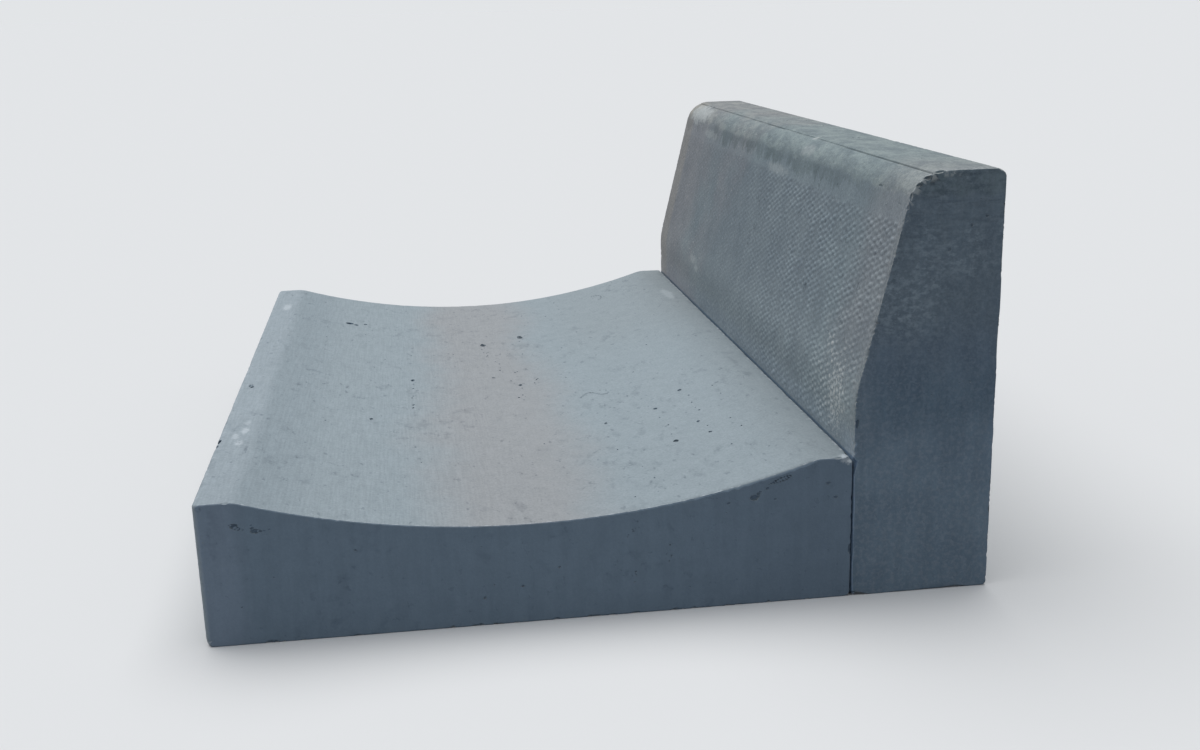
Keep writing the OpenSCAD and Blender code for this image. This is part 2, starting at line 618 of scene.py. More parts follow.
@dataclass
class Section:
    """A closed chain of lines and arcs, drawn with the stone on the left of the way round."""

    strokes: list[Arc | Straight]
    line_step: float
    hidden_step: float
    fill_pitch: float = 5 * MM
    fill_margin: float = 8 * MM
    edge_reach: float = 7 * MM
    edge_radius: float = 12 * MM
    xz: np.ndarray = field(init=False)
    outward: np.ndarray = field(init=False)
    edge: np.ndarray = field(init=False)

    def __post_init__(self) -> None:
        """Works out the chain's points and what each carries."""
        self.xz = np.array(list(self.walk()))
        ahead = np.roll(self.xz, -1, axis=0) - self.xz
        unit = ahead / np.linalg.norm(ahead, axis=1)[:, None]
        tangent = unit + np.roll(unit, 1, axis=0)
        tangent /= np.linalg.norm(tangent, axis=1)[:, None]
        self.outward = np.stack([tangent[:, 1], -tangent[:, 0]], axis=1)
        arcs = [s for s in self.strokes if isinstance(s, Arc) and s.radius < self.edge_radius]
        tips = np.array([arc.at((arc.start + arc.end) / 2) for arc in arcs])
        gaps = np.linalg.norm(self.xz[:, None, :] - tips[None, :, :], axis=2).min(axis=1)
        self.edge = np.exp(-((gaps / self.edge_reach) ** 2))

    def walk(self) -> Iterator[Point]:
        """Walks round the chain, with straight lines between the strokes.

        Yields:
            Every point once.
        """
        least = 0.02 * MM
        stretches: list[list[Point]] = []
        for i, stroke in enumerate(self.strokes):
            points = stroke.points()
            following = self.strokes[(i + 1) % len(self.strokes)].points()[0]
            on_bed = max(points[-1][1], following[1]) < MM
            step = self.hidden_step if on_bed else self.line_step
            stretches += [points, Straight(points[-1], following, step).points()]
        first = stretches[0][0]
        last = None
        for point in (p for stretch in stretches for p in stretch):
            if last is None or min(math.dist(point, last), math.dist(point, first)) > least:
                yield point
            last = point

    def lattice(self) -> np.ndarray:
        """Fills the outline with a triangular lattice, clear of its worn edge.

        Returns:
            The lattice's points.
        """
        low, high = self.xz.min(axis=0), self.xz.max(axis=0)
        rows = np.arange(low[1], high[1], self.fill_pitch * math.sqrt(3) / 2)
        columns = np.arange(low[0], high[0], self.fill_pitch)
        shift = self.fill_pitch / 2 * (np.arange(len(rows)) % 2)
        across = columns[None, :] + shift[:, None]
        points = np.stack([across, np.repeat(rows[:, None], len(columns), 1)], -1).reshape(-1, 2)
        inside = np.zeros(len(points), bool)
        for (x0, z0), (x1, z1) in zip(self.xz, np.roll(self.xz, -1, axis=0)):
            if z0 != z1:
                crosses = (z0 > points[:, 1]) != (z1 > points[:, 1])
                inside ^= crosses & (points[:, 0] < x0 + (x1 - x0) * (points[:, 1] - z0) / (z1 - z0))
        points = points[inside]
        gaps = np.linalg.norm(points[:, None, :] - self.xz[None, :, :], axis=2).min(axis=1)
        return points[gaps > self.fill_margin]

    def as_object(self, name: str, shares: Mapping[Mark, np.ndarray]) -> bpy.types.Object:
        """Makes a flat, filled mesh of the section that carries its values.

        Args:
            name: Name of the new object.
            shares: More values for each point of the outline.

        Returns:
            The section's object, linked to the scene.
        """
        lattice = self.lattice()
        points = np.concatenate([self.xz, lattice])
        outline = [list(range(len(self.xz)))]
        inside_only, tolerance = 1, 0.001
        flat = [Vector(p / MM) for p in points]
        faces = delaunay_2d_cdt(flat, [], outline, inside_only, tolerance)[2]
        mesh = bpy.data.meshes.new(name)
        mesh.from_pydata([(x, 0.0, z) for x, z in points], [], faces)
        plain = np.zeros(len(lattice))
        outward = np.concatenate([np.insert(self.outward, 1, 0.0, axis=1), np.zeros((len(lattice), 3))])
        ways = mesh.attributes.new(Mark.OUTWARD.value, "FLOAT_VECTOR", "POINT")
        ways.data.foreach_set("vector", outward.ravel())
        inner = np.concatenate([np.zeros(len(self.xz)), plain + 1.0])
        values = {mark: np.concatenate([share, plain]) for mark, share in shares.items()}
        values |= {Mark.EDGE: np.concatenate([self.edge, plain]), Mark.INNER: inner}
        for mark, share in values.items():
            mesh.attributes.new(mark.value, "FLOAT", "POINT").data.foreach_set("value", share)
        return linked(name, mesh)


@dataclass(frozen=True)
class Hollow:
    """A blowhole or a broken place: its middle, how far it reaches each way and how much grime and
    painted shade darken it.
    """

    place: Triple
    reach: Triple
    dirt: float = 1.0


def linked(name: str, mesh: bpy.types.Mesh) -> bpy.types.Object:
    """Makes an object of a mesh and links it to the scene.

    Args:
        name: Name of the new object.
        mesh: Its mesh.

    Returns:
        The object.
    """
    piece = bpy.data.objects.new(name, mesh)
    bpy.context.scene.collection.objects.link(piece)
    return piece


@dataclass
class CastStone:
    """A stone cast to one section, which stands for one node of the frame."""

    node: str
    slot: str
    seed: int
    stations: int
    end_stations: int = 6
    arris_radius: float = 0.7 * MM
    chip_depth: float = 4.0 * MM
    chip_size: float = 4.5 * MM
    edge_chip_depth: float = 2.6 * MM
    seam_wear: float = 1.6 * MM
    corner_wear: float = 0.0
    dent_depth: float = 0.9 * MM
    dent_size: float = 22 * MM
    hollow_roughness: float = 1.1
    least_edge: float = 0.02 * MM
    low: Vector = field(init=False)
    high: Vector = field(init=False)

    def __post_init__(self) -> None:
        """Reads the stone's place from the frame."""
        self.low, self.high = (Vector(corner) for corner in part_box(self.node))

    @property
    def length(self) -> float:
        """Length along the road."""
        return self.high.y - self.low.y

    def section(self) -> Section:
        """Returns the stone's section in the part's frame."""
        raise NotImplementedError

    def shares(self, section: Section) -> dict[Mark, np.ndarray]:
        """Returns what else each point of the outline carries."""
        return {}

    def sizes(self) -> dict[str, object]:
        """Collects the casting's inputs.

        Returns:
            The values by the input's name.
        """
        return {
            "Length": self.length,
            "Stations": self.stations,
            "End stations": self.end_stations,
            "Arris radius": self.arris_radius,
            "Chip depth": self.chip_depth,
            "Chip size": self.chip_size,
            "Edge chip depth": self.edge_chip_depth,
            "Seam wear": self.seam_wear,
            "Corner wear": self.corner_wear,
            "Dent depth": self.dent_depth,
            "Dent size": self.dent_size,
            "Knurl pitch along": 1.0,
            "Knurl pitch up": 1.0,
        }

    def hollows(self) -> list[Hollow]:
        """Returns every blowhole and broken place of the stone."""
        raise NotImplementedError

    def build(
        self, casting: CastingTree, cutting: HollowsTree, material: bpy.types.Material
    ) -> bpy.types.Object:
        """Casts the stone, cuts its hollows and puts it in the frame.

        Args:
            casting: The tree that runs the section along the road.
            cutting: The tree that cuts the hollows.
            material: The stone's finish.

        Returns:
            The finished piece.
        """
        section = self.section()
        stone = section.as_object(f"{self.node}_casting", self.shares(section))
        casting.put_on(stone, self.sizes() | {"Material": material})
        markers = self.hollow_markers()
        values = {"Hollows": markers, "Roughness": self.hollow_roughness, "Material": material}
        cutting.put_on(stone, values)
        graph = bpy.context.evaluated_depsgraph_get()
        mesh = bpy.data.meshes.new_from_object(stone.evaluated_get(graph), depsgraph=graph)
        stone.modifiers.clear()
        stone.data = mesh
        bpy.data.objects.remove(markers)
        self.tidy(mesh, material)
        self.shade(mesh)
        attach(stone, BODY)
        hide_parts(self.node)
        triangles = sum(len(p.vertices) - 2 for p in mesh.polygons)
        log.info("%s: %d triangles, %d faces", stone.name, triangles, len(mesh.polygons))
        return stone

    def hollow_markers(self) -> bpy.types.Object:
        """Marks the place of each hollow.

        Returns:
            An object with one point for each hollow, which carries its reach and its share of grime and
            painted shade.
        """
        hollows = self.hollows()
        mesh = bpy.data.meshes.new(f"{self.node}_hollows")
        mesh.from_pydata([h.place for h in hollows], [], [])
        reach = mesh.attributes.new(Mark.REACH.value, "FLOAT_VECTOR", "POINT")
        reach.data.foreach_set("vector", np.array([h.reach for h in hollows]).ravel())
        dirt = mesh.attributes.new(Mark.DIRT.value, "FLOAT", "POINT")
        dirt.data.foreach_set("value", np.array([h.dirt for h in hollows]))
        return linked(mesh.name, mesh)

    def tidy(self, mesh: bpy.types.Mesh, material: bpy.types.Material) -> None:
        """Leaves one material, the values that the finish reads and no slivers or loose crumbs.

        Args:
            mesh: The finished mesh.
            material: The stone's finish.
        """
        spent = (Mark.POINT, Mark.OUTWARD, Mark.EDGE, Mark.RUN, Mark.CORNER, Mark.INNER)
        for mark in (*spent, Mark.STATION, Mark.REACH):
            if mark.value in mesh.attributes:
                mesh.attributes.remove(mesh.attributes[mark.value])
        mesh.materials.clear()
        mesh.materials.append(material)
        mesh.polygons.foreach_set("material_index", np.zeros(len(mesh.polygons), np.int32))
        shape = bmesh.new()
        shape.from_mesh(mesh)
        bmesh.ops.delete(shape, geom=self.loose_crumbs(shape), context="VERTS")
        self.close_slivers(shape)
        for edge in [edge for edge in shape.edges if len(edge.link_faces) > 2]:
            self.turn_diagonal(edge)
        self.close_slivers(shape)
        bmesh.ops.delete(shape, geom=[edge for edge in shape.edges if edge.is_wire], context="EDGES")
        shape.to_mesh(mesh)
        shape.free()

    def close_slivers(self, shape: bmesh.types.BMesh) -> None:
        """Closes up the slivers and cuts every face of more than four sides into triangles."""
        bmesh.ops.dissolve_degenerate(shape, dist=self.least_edge, edges=shape.edges[:])
        bmesh.ops.triangulate(shape, faces=[face for face in shape.faces if len(face.verts) > 4])

    @staticmethod
    def loose_crumbs(shape: bmesh.types.BMesh) -> list[bmesh.types.BMVert]:
        """Finds what the cuts left loose.

        Args:
            shape: The mesh being tidied.

        Returns:
            The points of every separate piece but the largest one.
        """
        pieces: list[set[bmesh.types.BMVert]] = []
        left = set(shape.verts)
        while left:
            reached = {left.pop()}
            front = list(reached)
            while front:
                vert = front.pop()
                near = {edge.other_vert(vert) for edge in vert.link_edges} - reached
                reached |= near
                front += near
            left -= reached
            pieces.append(reached)
        pieces.sort(key=len)
        return [vert for piece in pieces[:-1] for vert in piece]

    @staticmethod
    def turn_diagonal(edge: bmesh.types.BMEdge) -> None:
        """Cuts two flush triangles the other way where their shared side doubles another edge.

        Args:
            edge: An edge that more than two faces share.
        """
        triangles = [face for face in edge.link_faces if len(face.verts) == 3]
        flush = max(combinations(triangles, 2), key=lambda pair: pair[0].normal.dot(pair[1].normal))
        tips = [next(vert for vert in face.verts if vert not in edge.verts) for face in flush]
        bmesh.utils.face_split(bmesh.utils.face_join(flush, False), *tips)

    def shade(self, mesh: bpy.types.Mesh) -> None:
        """Shades the stone smooth, with crisp breaks and a crisp border round both ends.

        Args:
            mesh: The finished mesh.
        """
        end_slope, break_angle = 0.97, math.radians(40)
        shape = bmesh.new()
        shape.from_mesh(mesh)
        for face in shape.faces:
            face.smooth = True
        for edge in shape.edges:
            on_end = [abs(face.normal.y) > end_slope for face in edge.link_faces]
            edge.smooth = len(set(on_end)) == 1 and edge.calc_face_angle(0.0) < break_angle
        shape.to_mesh(mesh)
        shape.free()


@dataclass
class KerbStone(CastStone):
    """The tall stone: an upright then leaning road face, a rounded nose and a flat top."""

    batter_start: float = 196 * MM
    batter_angle: float = math.radians(14.2)
    batter_ease: float = 120 * MM
    nose_radius: float = 34 * MM
    back_edge_radius: float = 9 * MM
    mould_line_turn: float = math.radians(21)
    mould_line_width: float = 2.4 * MM
    mould_line_depth: float = 1.4 * MM
    bed_radius: float = 4 * MM
    knurl_height: float = 1.2 * MM
    knurl_pitches_along: int = 55
    knurl_pitch_up: float = 6.92 * MM
    knurl_turn: float = math.radians(-4.7)
    knurl_slant: float = 0.46
    knurl_drift: float = 8 * MM
    knurl_fade: float = 9 * MM
    knurl_far_share: float = 0.22
    knurl_low: float = 139 * MM
    knurl_high: float = 356 * MM
    knurl_border: float = 4 * MM
    rows_per_pitch: int = 5
    groove_fill_share: float = 0.85
    nose_step: float = 2.2 * MM
    behind_nose_step: float = 3 * MM
    back_edge_step: float = 2.0 * MM
    bed_step: float = 1.6 * MM
    plain_step: float = 15 * MM
    end_holes: int = 8
    top_holes: int = 14
    back_holes: int = 30
    back_crumbs: int = 34
    scatter_half: float = 0.46
    chip_depth: float = 6.0 * MM
    least_edge: float = 0.05 * MM

    @property
    def top_front_x(self) -> float:
        """X of the sharp corner that the nose rounds."""
        return self.on_lean(self.high.z)[0]

    def on_lean(self, height: float) -> Point:
        """Returns the point of the leaning face at a height."""
        return (self.low.x + (height - self.batter_start) * math.tan(self.batter_angle), height)

    def section(self) -> Section:
        """Draws the stone's section in the part's frame.

        Returns:
            The section.
        """
        row = self.knurl_pitch_up / self.rows_per_pitch
        bed_front, bed_back = (self.low.x, self.low.z), (self.high.x, self.low.z)
        top_back, top_front = (self.high.x, self.high.z), self.on_lean(self.high.z)
        lean = self.on_lean(self.batter_start)
        nose = rounded(top_back, top_front, lean, self.nose_radius, self.nose_step)
        line = nose.start + self.mould_line_turn
        half_line = self.mould_line_width / 2 / self.nose_radius
        behind = Arc(nose.centre, nose.radius, nose.start, line - half_line, self.behind_nose_step)
        before = Arc(nose.centre, nose.radius, line + half_line, nose.end, nose.step)
        notch = Arc(nose.centre, nose.radius - self.mould_line_depth, line, line, row).at(line)
        ease = rounded(top_front, lean, bed_front, self.batter_ease, row)
        head = self.on_lean(self.knurl_high + self.knurl_border)
        foot = (self.low.x, self.knurl_low - self.knurl_border)
        strokes = [
            rounded(lean, bed_front, bed_back, self.bed_radius, self.bed_step),
            rounded(bed_front, bed_back, top_back, self.bed_radius, self.bed_step),
            rounded(bed_back, top_back, top_front, self.back_edge_radius, self.back_edge_step),
            behind,
            Straight(behind.at(behind.end), notch, row),
            before,
            Straight(head, ease.at(ease.start), row),
            ease,
            Straight(ease.at(ease.end), foot, row),
        ]
        return Section(strokes, self.plain_step, self.plain_step)

    def shares(self, section: Section) -> dict[Mark, np.ndarray]:
        """Works out what else each point of the outline carries.

        Args:
            section: The stone's section.

        Returns:
            The values by name.
        """
        height = section.xz[:, 1]
        on_face = section.outward[:, 0] < -0.9
        foot = np.maximum((height - self.knurl_low) / self.knurl_border, 0.0)
        head = np.maximum((self.knurl_high - height) / self.knurl_border, 0.0)
        rows = np.cumsum(on_face) * self.knurl_pitch_up / self.rows_per_pitch
        on_nose = section.outward[:, 1] > 0.8
        centre = np.array(self.on_lean(self.high.z - self.nose_radius))
        centre[0] = self.top_front_x + self.nose_radius * math.tan(math.pi / 4 - self.batter_angle / 2)
        sunk = self.nose_radius - np.linalg.norm(section.xz - centre, axis=1)
        at_bottom = np.abs(sunk - self.mould_line_depth) < 0.1 * MM
        return {
            Mark.RUN: -rows,
            Mark.KNURL: np.where(on_face, np.minimum(foot, head), 0.0),
            Mark.SEAM: np.where(on_face & (height < self.knurl_low), 1.0, 0.0),
            Mark.GROOVE: np.where(on_nose & at_bottom, 1.0, 0.0),
        }

    def sizes(self) -> dict[str, object]:
        """Collects the casting's inputs.

        Returns:
            The values by the input's name.
        """
        return super().sizes() | {
            "Groove fill": self.mould_line_depth * self.groove_fill_share,
            "Knurl height": self.knurl_height,
            "Knurl pitch along": self.length / self.knurl_pitches_along,
            "Knurl pitch up": self.knurl_pitch_up,
            "Knurl turn": self.knurl_turn,
            "Knurl slant": self.knurl_slant,
            "Knurl drift": self.knurl_drift,
            "Knurl fade": self.knurl_fade,
            "Knurl far share": self.knurl_far_share,
        }

    def hollows(self) -> list[Hollow]:
        """Collects every blowhole and broken place of the stone.

        Returns:
            The hollows.
        """
        rng = np.random.default_rng(self.seed)
        near, far, top = self.low.y, self.high.y, self.high.z
        return [
            *self.broken_nose(near, top),
            *self.blowholes(rng, near, far, top),
            *self.crumbled_back(near, top),
        ]

    def broken_nose(self, near: float, top: float) -> list[Hollow]:
        """Breaks the nose at the near end in steps.

        Args:
            near: Y of the near end.
            top: Height of the stone.

        Returns:
            The broken places.
        """
        nose = self.top_front_x
        return [
            Hollow((nose + 1 * MM, near, top - 12 * MM), (5 * MM, 3 * MM, 2.4 * MM), 0.0),
            Hollow((nose + 9 * MM, near, top - 6 * MM), (4 * MM, 3 * MM, 2.4 * MM), 0.0),
            Hollow((nose + 19 * MM, near, top - 1 * MM), (6 * MM, 3 * MM, 2 * MM), 0.0),
            Hollow((nose - 5 * MM, near, top - 21 * MM), (2.4 * MM, 3 * MM, 4 * MM), 0.0),
            Hollow((nose - 8 * MM, near, top - 31 * MM), (2 * MM, 2.4 * MM, 3 * MM), 0.0),
            Hollow((nose - 5.5 * MM, near + 82 * MM, top - 21 * MM), (1.2 * MM, 6 * MM, 2.4 * MM), 0.3),
        ]

    def crumbled_back(self, near: float, top: float) -> list[Hollow]:
        """Crumbles the upright back edge of the near end.

        Args:
            near: Y of the near end.
            top: Height of the stone.

        Returns:
            The broken places.
        """
        rng = np.random.default_rng(self.seed + 1)
        crumbs = []
        for height in rng.uniform(6 * MM, top - 12 * MM, self.back_crumbs):
            deep, tall = rng.uniform(0.8, 2.0) * MM, rng.uniform(1.5, 4.5) * MM
            crumbs.append(Hollow((self.high.x, near, height), (deep, 2 * MM, tall), 0.0))
        return crumbs

    def blowholes(self, rng: np.random.Generator, near: float, far: float, top: float) -> list[Hollow]:
        """Places the near end's marks and scatters small blowholes over both ends, the top and the back.

        Args:
            rng: Where the chance comes from.
            near: Y of the near end.
            far: Y of the far end.
            top: Height of the stone.

        Returns:
            The blowholes.
        """
        marks = ((17, 358), (31, 350), (51, 329))
        reach = (2.2 * MM, 1.2 * MM, 1.8 * MM)
        holes = [Hollow((self.high.x - back * MM, near, z * MM), reach, 0.4) for back, z in marks]
        chip_reach = (1.8 * MM, 1.6 * MM, 5 * MM)
        holes.append(Hollow((self.low.x + 2.6 * MM, near, 171 * MM), chip_reach, 0.8))
        half = self.scatter_half
        for end in (near, far):
            for _ in range(self.end_holes):
                x = rng.uniform(self.low.x + 60 * MM, self.high.x - 12 * MM)
                size = rng.uniform(0.5, 1.2) * MM
                place = (x, end, rng.uniform(20 * MM, top - 20 * MM))
                holes.append(Hollow(place, (size * 1.4, size, size), 0.3))
        for _ in range(self.top_holes):
            x = rng.uniform(self.top_front_x + 40 * MM, self.high.x - 14 * MM)
            place = (x, rng.uniform(-half, half), top)
            size = rng.uniform(0.7, 1.6) * MM
            holes.append(Hollow(place, (size, size * 1.4, size)))
        for _ in range(self.back_holes):
            place = (self.high.x, rng.uniform(-half, half), rng.uniform(20 * MM, top - 30 * MM))
            size = rng.uniform(0.9, 2.6) * MM
            holes.append(Hollow(place, (size, size * 1.2, size)))
        return holes


@dataclass
class ChannelStone(CastStone):
    """The low, wide stone: a shallow dish between two flat lips."""

    road_lip_height: float = 136 * MM
    road_lip_width: float = 36 * MM
    kerb_lip_width: float = 36 * MM
    dish_depth: float = 41 * MM
    lip_ease: float = 40 * MM
    road_edge_radius: float = 4 * MM
    seam_edge_radius: float = 5 * MM
    bed_radius: float = 6 * MM
    chip_depth: float = 2.2 * MM
    chip_size: float = 8 * MM
    edge_chip_depth: float = 2.0 * MM
    corner_wear: float = 7 * MM
    dish_step: float = 3.2 * MM
    plain_step: float = 3.6 * MM
    hidden_step: float = 10 * MM
    bed_step: float = 1.8 * MM
    edge_step: float = 1.3 * MM
    end_margin: float = 12 * MM
    stray_holes: int = 60
    cluster_holes: int = 7
    end_holes: int = 30
    seam_breaks: int = 60
    bed_breaks: int = 26

    @property
    def road_lip_edge(self) -> Vector:
        """Inner edge of the lip on the road side."""
        return Vector((self.low.x + self.road_lip_width, self.road_lip_height))

    @property
    def kerb_lip_edge(self) -> Vector:
        """Inner edge of the lip beside the kerb stone."""
        return Vector((self.high.x - self.kerb_lip_width, self.high.z))

    @property
    def dish_radius(self) -> float:
        """Radius of the circle that the dish follows."""
        half_span = (self.kerb_lip_edge - self.road_lip_edge).length / 2
        return (half_span**2 + self.dish_depth**2) / (2 * self.dish_depth)

    @property
    def dish_centre(self) -> Vector:
        """Centre of the circle that the dish follows."""
        span = (self.kerb_lip_edge - self.road_lip_edge).normalized()
        middle = (self.kerb_lip_edge + self.road_lip_edge) / 2
        return middle + Vector((-span.y, span.x)) * (self.dish_radius - self.dish_depth)

    def surface(self, x: float) -> float:
        """Returns the height of the dish at X."""
        return self.dish_centre.y - math.sqrt(self.dish_radius**2 - (x - self.dish_centre.x) ** 2)

    def lip_round(self, lip_height: float, side: float, step: float) -> Arc:
        """Eases a lip into the dish.

        Args:
            lip_height: Height of the lip.
            side: 1 for the lip beside the kerb stone, -1 for the lip on the road side.
            step: Greatest distance between points.

        Returns:
            The arc that touches the lip and the dish.
        """
        drop = self.dish_centre.y - (lip_height - self.lip_ease)
        reach = math.sqrt((self.dish_radius + self.lip_ease) ** 2 - drop**2)
        centre = Vector((self.dish_centre.x + side * reach, lip_height - self.lip_ease))
        to_dish = self.dish_centre - centre
        on_dish, on_lip = math.atan2(to_dish.y, to_dish.x), math.pi / 2
        start, end = (on_lip, on_dish) if side > 0 else (on_dish, on_lip)
        return Arc((centre.x, centre.y), self.lip_ease, start, end, step)

    def section(self) -> Section:
        """Draws the stone's section in the part's frame.

        Returns:
            The section.
        """
        bed_road, bed_seam = (self.low.x, self.low.z), (self.high.x, self.low.z)
        top_seam, top_road = (self.high.x, self.high.z), (self.low.x, self.road_lip_height)
        road_lip, kerb_lip = tuple(self.road_lip_edge), tuple(self.kerb_lip_edge)
        kerb_round = self.lip_round(self.high.z, 1.0, self.dish_step)
        road_round = self.lip_round(self.road_lip_height, -1.0, self.dish_step)
        centre = self.dish_centre
        touching = (kerb_round.at(kerb_round.end), road_round.at(road_round.start))
        start, end = (math.atan2(z - centre.y, x - centre.x) for x, z in touching)
        strokes = [
            rounded(top_road, bed_road, bed_seam, self.bed_radius, self.bed_step),
            rounded(bed_road, bed_seam, top_seam, self.bed_radius, self.bed_step),
            rounded(bed_seam, top_seam, kerb_lip, self.seam_edge_radius, self.edge_step),
            kerb_round,
            Arc((centre.x, centre.y), self.dish_radius, start, end, self.dish_step),
            road_round,
            rounded(road_lip, top_road, bed_road, self.road_edge_radius, self.edge_step),
        ]
        return Section(strokes, self.plain_step, self.hidden_step, fill_margin=self.end_margin)

    def shares(self, section: Section) -> dict[Mark, np.ndarray]:
        """Returns what else each point of the outline carries."""
        to_kerb = section.outward[:, 0]
        return {Mark.SEAM: np.where(to_kerb > 0.9, 1.0, 0.0), Mark.CORNER: np.maximum(-to_kerb, 0.0)}

    def in_dish(self, across: float, along: float, size: float, stretch: float = 1.3) -> Hollow:
        """Places a blowhole in the dish.

        Args:
            across: Distance from the road-side face, in millimetres.
            along: Distance from the near end, in millimetres.
            size: Half its width, in millimetres.
            stretch: How much longer it is along the road.

        Returns:
            The hollow.
        """
        x = self.low.x + across * MM
        place = (x, self.low.y + along * MM, self.surface(x))
        return Hollow(place, (size * MM, size * stretch * MM, size * 1.1 * MM), 0.4)

    def hollows(self) -> list[Hollow]:
        """Collects every blowhole and broken place of the stone.

        Returns:
            The hollows.
        """
        near, far = self.low.y, self.high.y
        rng = np.random.default_rng(self.seed)
        return [
            *self.large_blowholes(),
            *self.blowhole_rows(rng),
            *self.scratch(),
            *self.end_blowholes(rng, near, far),
            *self.broken_edges(near),
        ]

    def large_blowholes(self) -> list[Hollow]:
        """Places the blowholes of the dish that show from afar.

        Returns:
            The hollows.
        """
        return [
            self.in_dish(297, 720, 4.2, 2.2),
            self.in_dish(351, 750, 4.0, 2.3),
            self.in_dish(300, 537, 2.4, 1.5),
            self.in_dish(198, 527, 2.6, 2.2),
            self.in_dish(330, 490, 2.4, 2.0),
            self.in_dish(501, 335, 2.8),
            self.in_dish(465, 292, 2.6),
            self.in_dish(465, 168, 3.0),
            self.in_dish(497, 210, 2.2),
            self.in_dish(501, 167, 2.2),
            self.in_dish(150, 338, 2.2, 1.8),
            self.in_dish(407, 279, 2.0, 1.8),
            self.in_dish(112, 824, 5.5, 1.1),
            self.in_dish(121, 820, 3.5, 1.0),
            self.in_dish(134, 832, 2.6, 1.2),
        ]

    def blowhole_rows(self, rng: np.random.Generator) -> list[Hollow]:
        """Scatters the small blowholes, which lie in rows along the dish, and a few strays.

        Args:
            rng: Where the chance comes from.

        Returns:
            The hollows.
        """
        rows = ((198, 380, 530, 11), (297, 640, 715, 7), (312, 560, 640, 4), (330, 400, 560, 6))
        rows += ((350, 470, 740, 6), (465, 150, 320, 4), (505, 150, 340, 4))
        holes = []
        for across, start, end, count in rows:
            for along in rng.uniform(start, end, count):
                off = rng.normal(0.0, 2.5)
                holes.append(self.in_dish(across + off, along, rng.uniform(0.7, 1.3), 1.8))
        for _ in range(self.stray_holes):
            size = rng.uniform(0.5, 1.2)
            holes.append(self.in_dish(rng.uniform(60, 550), rng.uniform(20, 960), size, 1.6))
        return holes

    def scratch(self) -> list[Hollow]:
        """Draws a hairline wave and a hook, each a chain of shallow hollows.

        Returns:
            The hollows.
        """
        wave = [(394 + 2.2 * i, 402 + 9 * math.sin(i * 0.42 - 0.6)) for i in range(16)]
        hook = [(481 + 9 * math.sin(a * 0.4), 909 + 17 * math.cos(a * 0.4)) for a in range(-1, 8)]
        chain = []
        for across, along in wave + hook:
            place = self.in_dish(across, along, 1.0).place
            chain.append(Hollow(place, (1.6 * MM, 2.6 * MM, 0.5 * MM), 0.25))
        return chain

    def end_blowholes(self, rng: np.random.Generator, near: float, far: float) -> list[Hollow]:
        """Places blowholes on both ends.

        Args:
            rng: Where the chance comes from.
            near: Y of the near end.
            far: Y of the far end.

        Returns:
            The hollows.
        """
        left = self.low.x
        holes = []
        marks = ((32, 115, 1.0), (35, 114, 2.2), (37, 112, 1.6), (39, 111, 1.2), (43, 110, 0.8))
        marks += ((53, 108, 2.2), (51, 111, 1.1), (50, 114, 0.8))
        marks += ((57, 108, 1.2), (61, 108, 0.8), (66, 109, 0.7))
        marks += ((507, 106, 2.4), (505, 107, 1.2), (510, 109, 1.2), (512, 111, 0.9), (519, 114, 1.2))
        marks += tuple((520 + 2.5 * i, 117.5 + 0.9 * i, 1.9 - 0.28 * abs(i - 5)) for i in range(9))
        marks += ((526, 103, 0.9), (577, 115, 1.3), (584, 101, 1.2), (482, 102, 1.1))
        for across, height, size in marks:
            reach = (size * 1.9 * MM, size * 1.0 * MM, size * 1.3 * MM)
            holes.append(Hollow((left + across * MM, near, height * MM), reach, 0.5))
        for across, height in ((389, 81), (426, 54), (393, 38), (380, 42)):
            for _ in range(self.cluster_holes):
                size = rng.uniform(0.5, 1.2) * MM
                x, z = left + (across + rng.normal(0.0, 4.0)) * MM, (height + rng.normal(0.0, 4.5)) * MM
                holes.append(Hollow((x, near, z), (size * 1.2, size, size), 0.4))
        for _ in range(self.end_holes):
            x = left + rng.uniform(20, 580) * MM
            roof = self.surface(min(max(x, left + 50 * MM), self.high.x - 50 * MM))
            size = rng.uniform(0.6, 1.5) * MM
            place = (x, near if rng.random() < 0.5 else far, rng.uniform(15 * MM, roof - 12 * MM))
            holes.append(Hollow(place, (size * 1.3, size, size), 0.4))
        return holes

    def broken_edges(self, near: float) -> list[Hollow]:
        """Breaks the seam corner, the road-side lip, the bed's edge and the seam.

        Args:
            near: Y of the near end.

        Returns:
            The hollows.
        """
        left, right, lip = self.low.x, self.high.x, self.road_lip_height
        return [
            Hollow((right - 1 * MM, near, self.high.z - 1 * MM), (6 * MM, 5 * MM, 4 * MM), 0.0),
            Hollow((right - 14 * MM, near, self.high.z + 1 * MM), (5 * MM, 3 * MM, 2.4 * MM), 0.0),
            Hollow((right, near + 16 * MM, self.high.z), (4 * MM, 7 * MM, 4 * MM), 0.0),
            Hollow((right, near, 48 * MM), (3 * MM, 3 * MM, 7 * MM), 0.6),
            Hollow((left + 13 * MM, near + 414 * MM, lip), (2.6 * MM, 6 * MM, 2 * MM), 0.6),
            Hollow((left + 15 * MM, near + 408 * MM, lip), (2 * MM, 4 * MM, 1.6 * MM), 0.6),
            Hollow((left + 1 * MM, near + 194 * MM, lip - 2 * MM), (4 * MM, 9 * MM, 4 * MM), 0.7),
            Hollow((left + 1 * MM, near + 178 * MM, lip - 2 * MM), (3 * MM, 5 * MM, 3 * MM), 0.7),
            Hollow((left + 30 * MM, near, lip + 1 * MM), (5 * MM, 3 * MM, 2 * MM), 0.0),
            *self.broken_bed(near),
            *self.crumbled_seam(near),
        ]

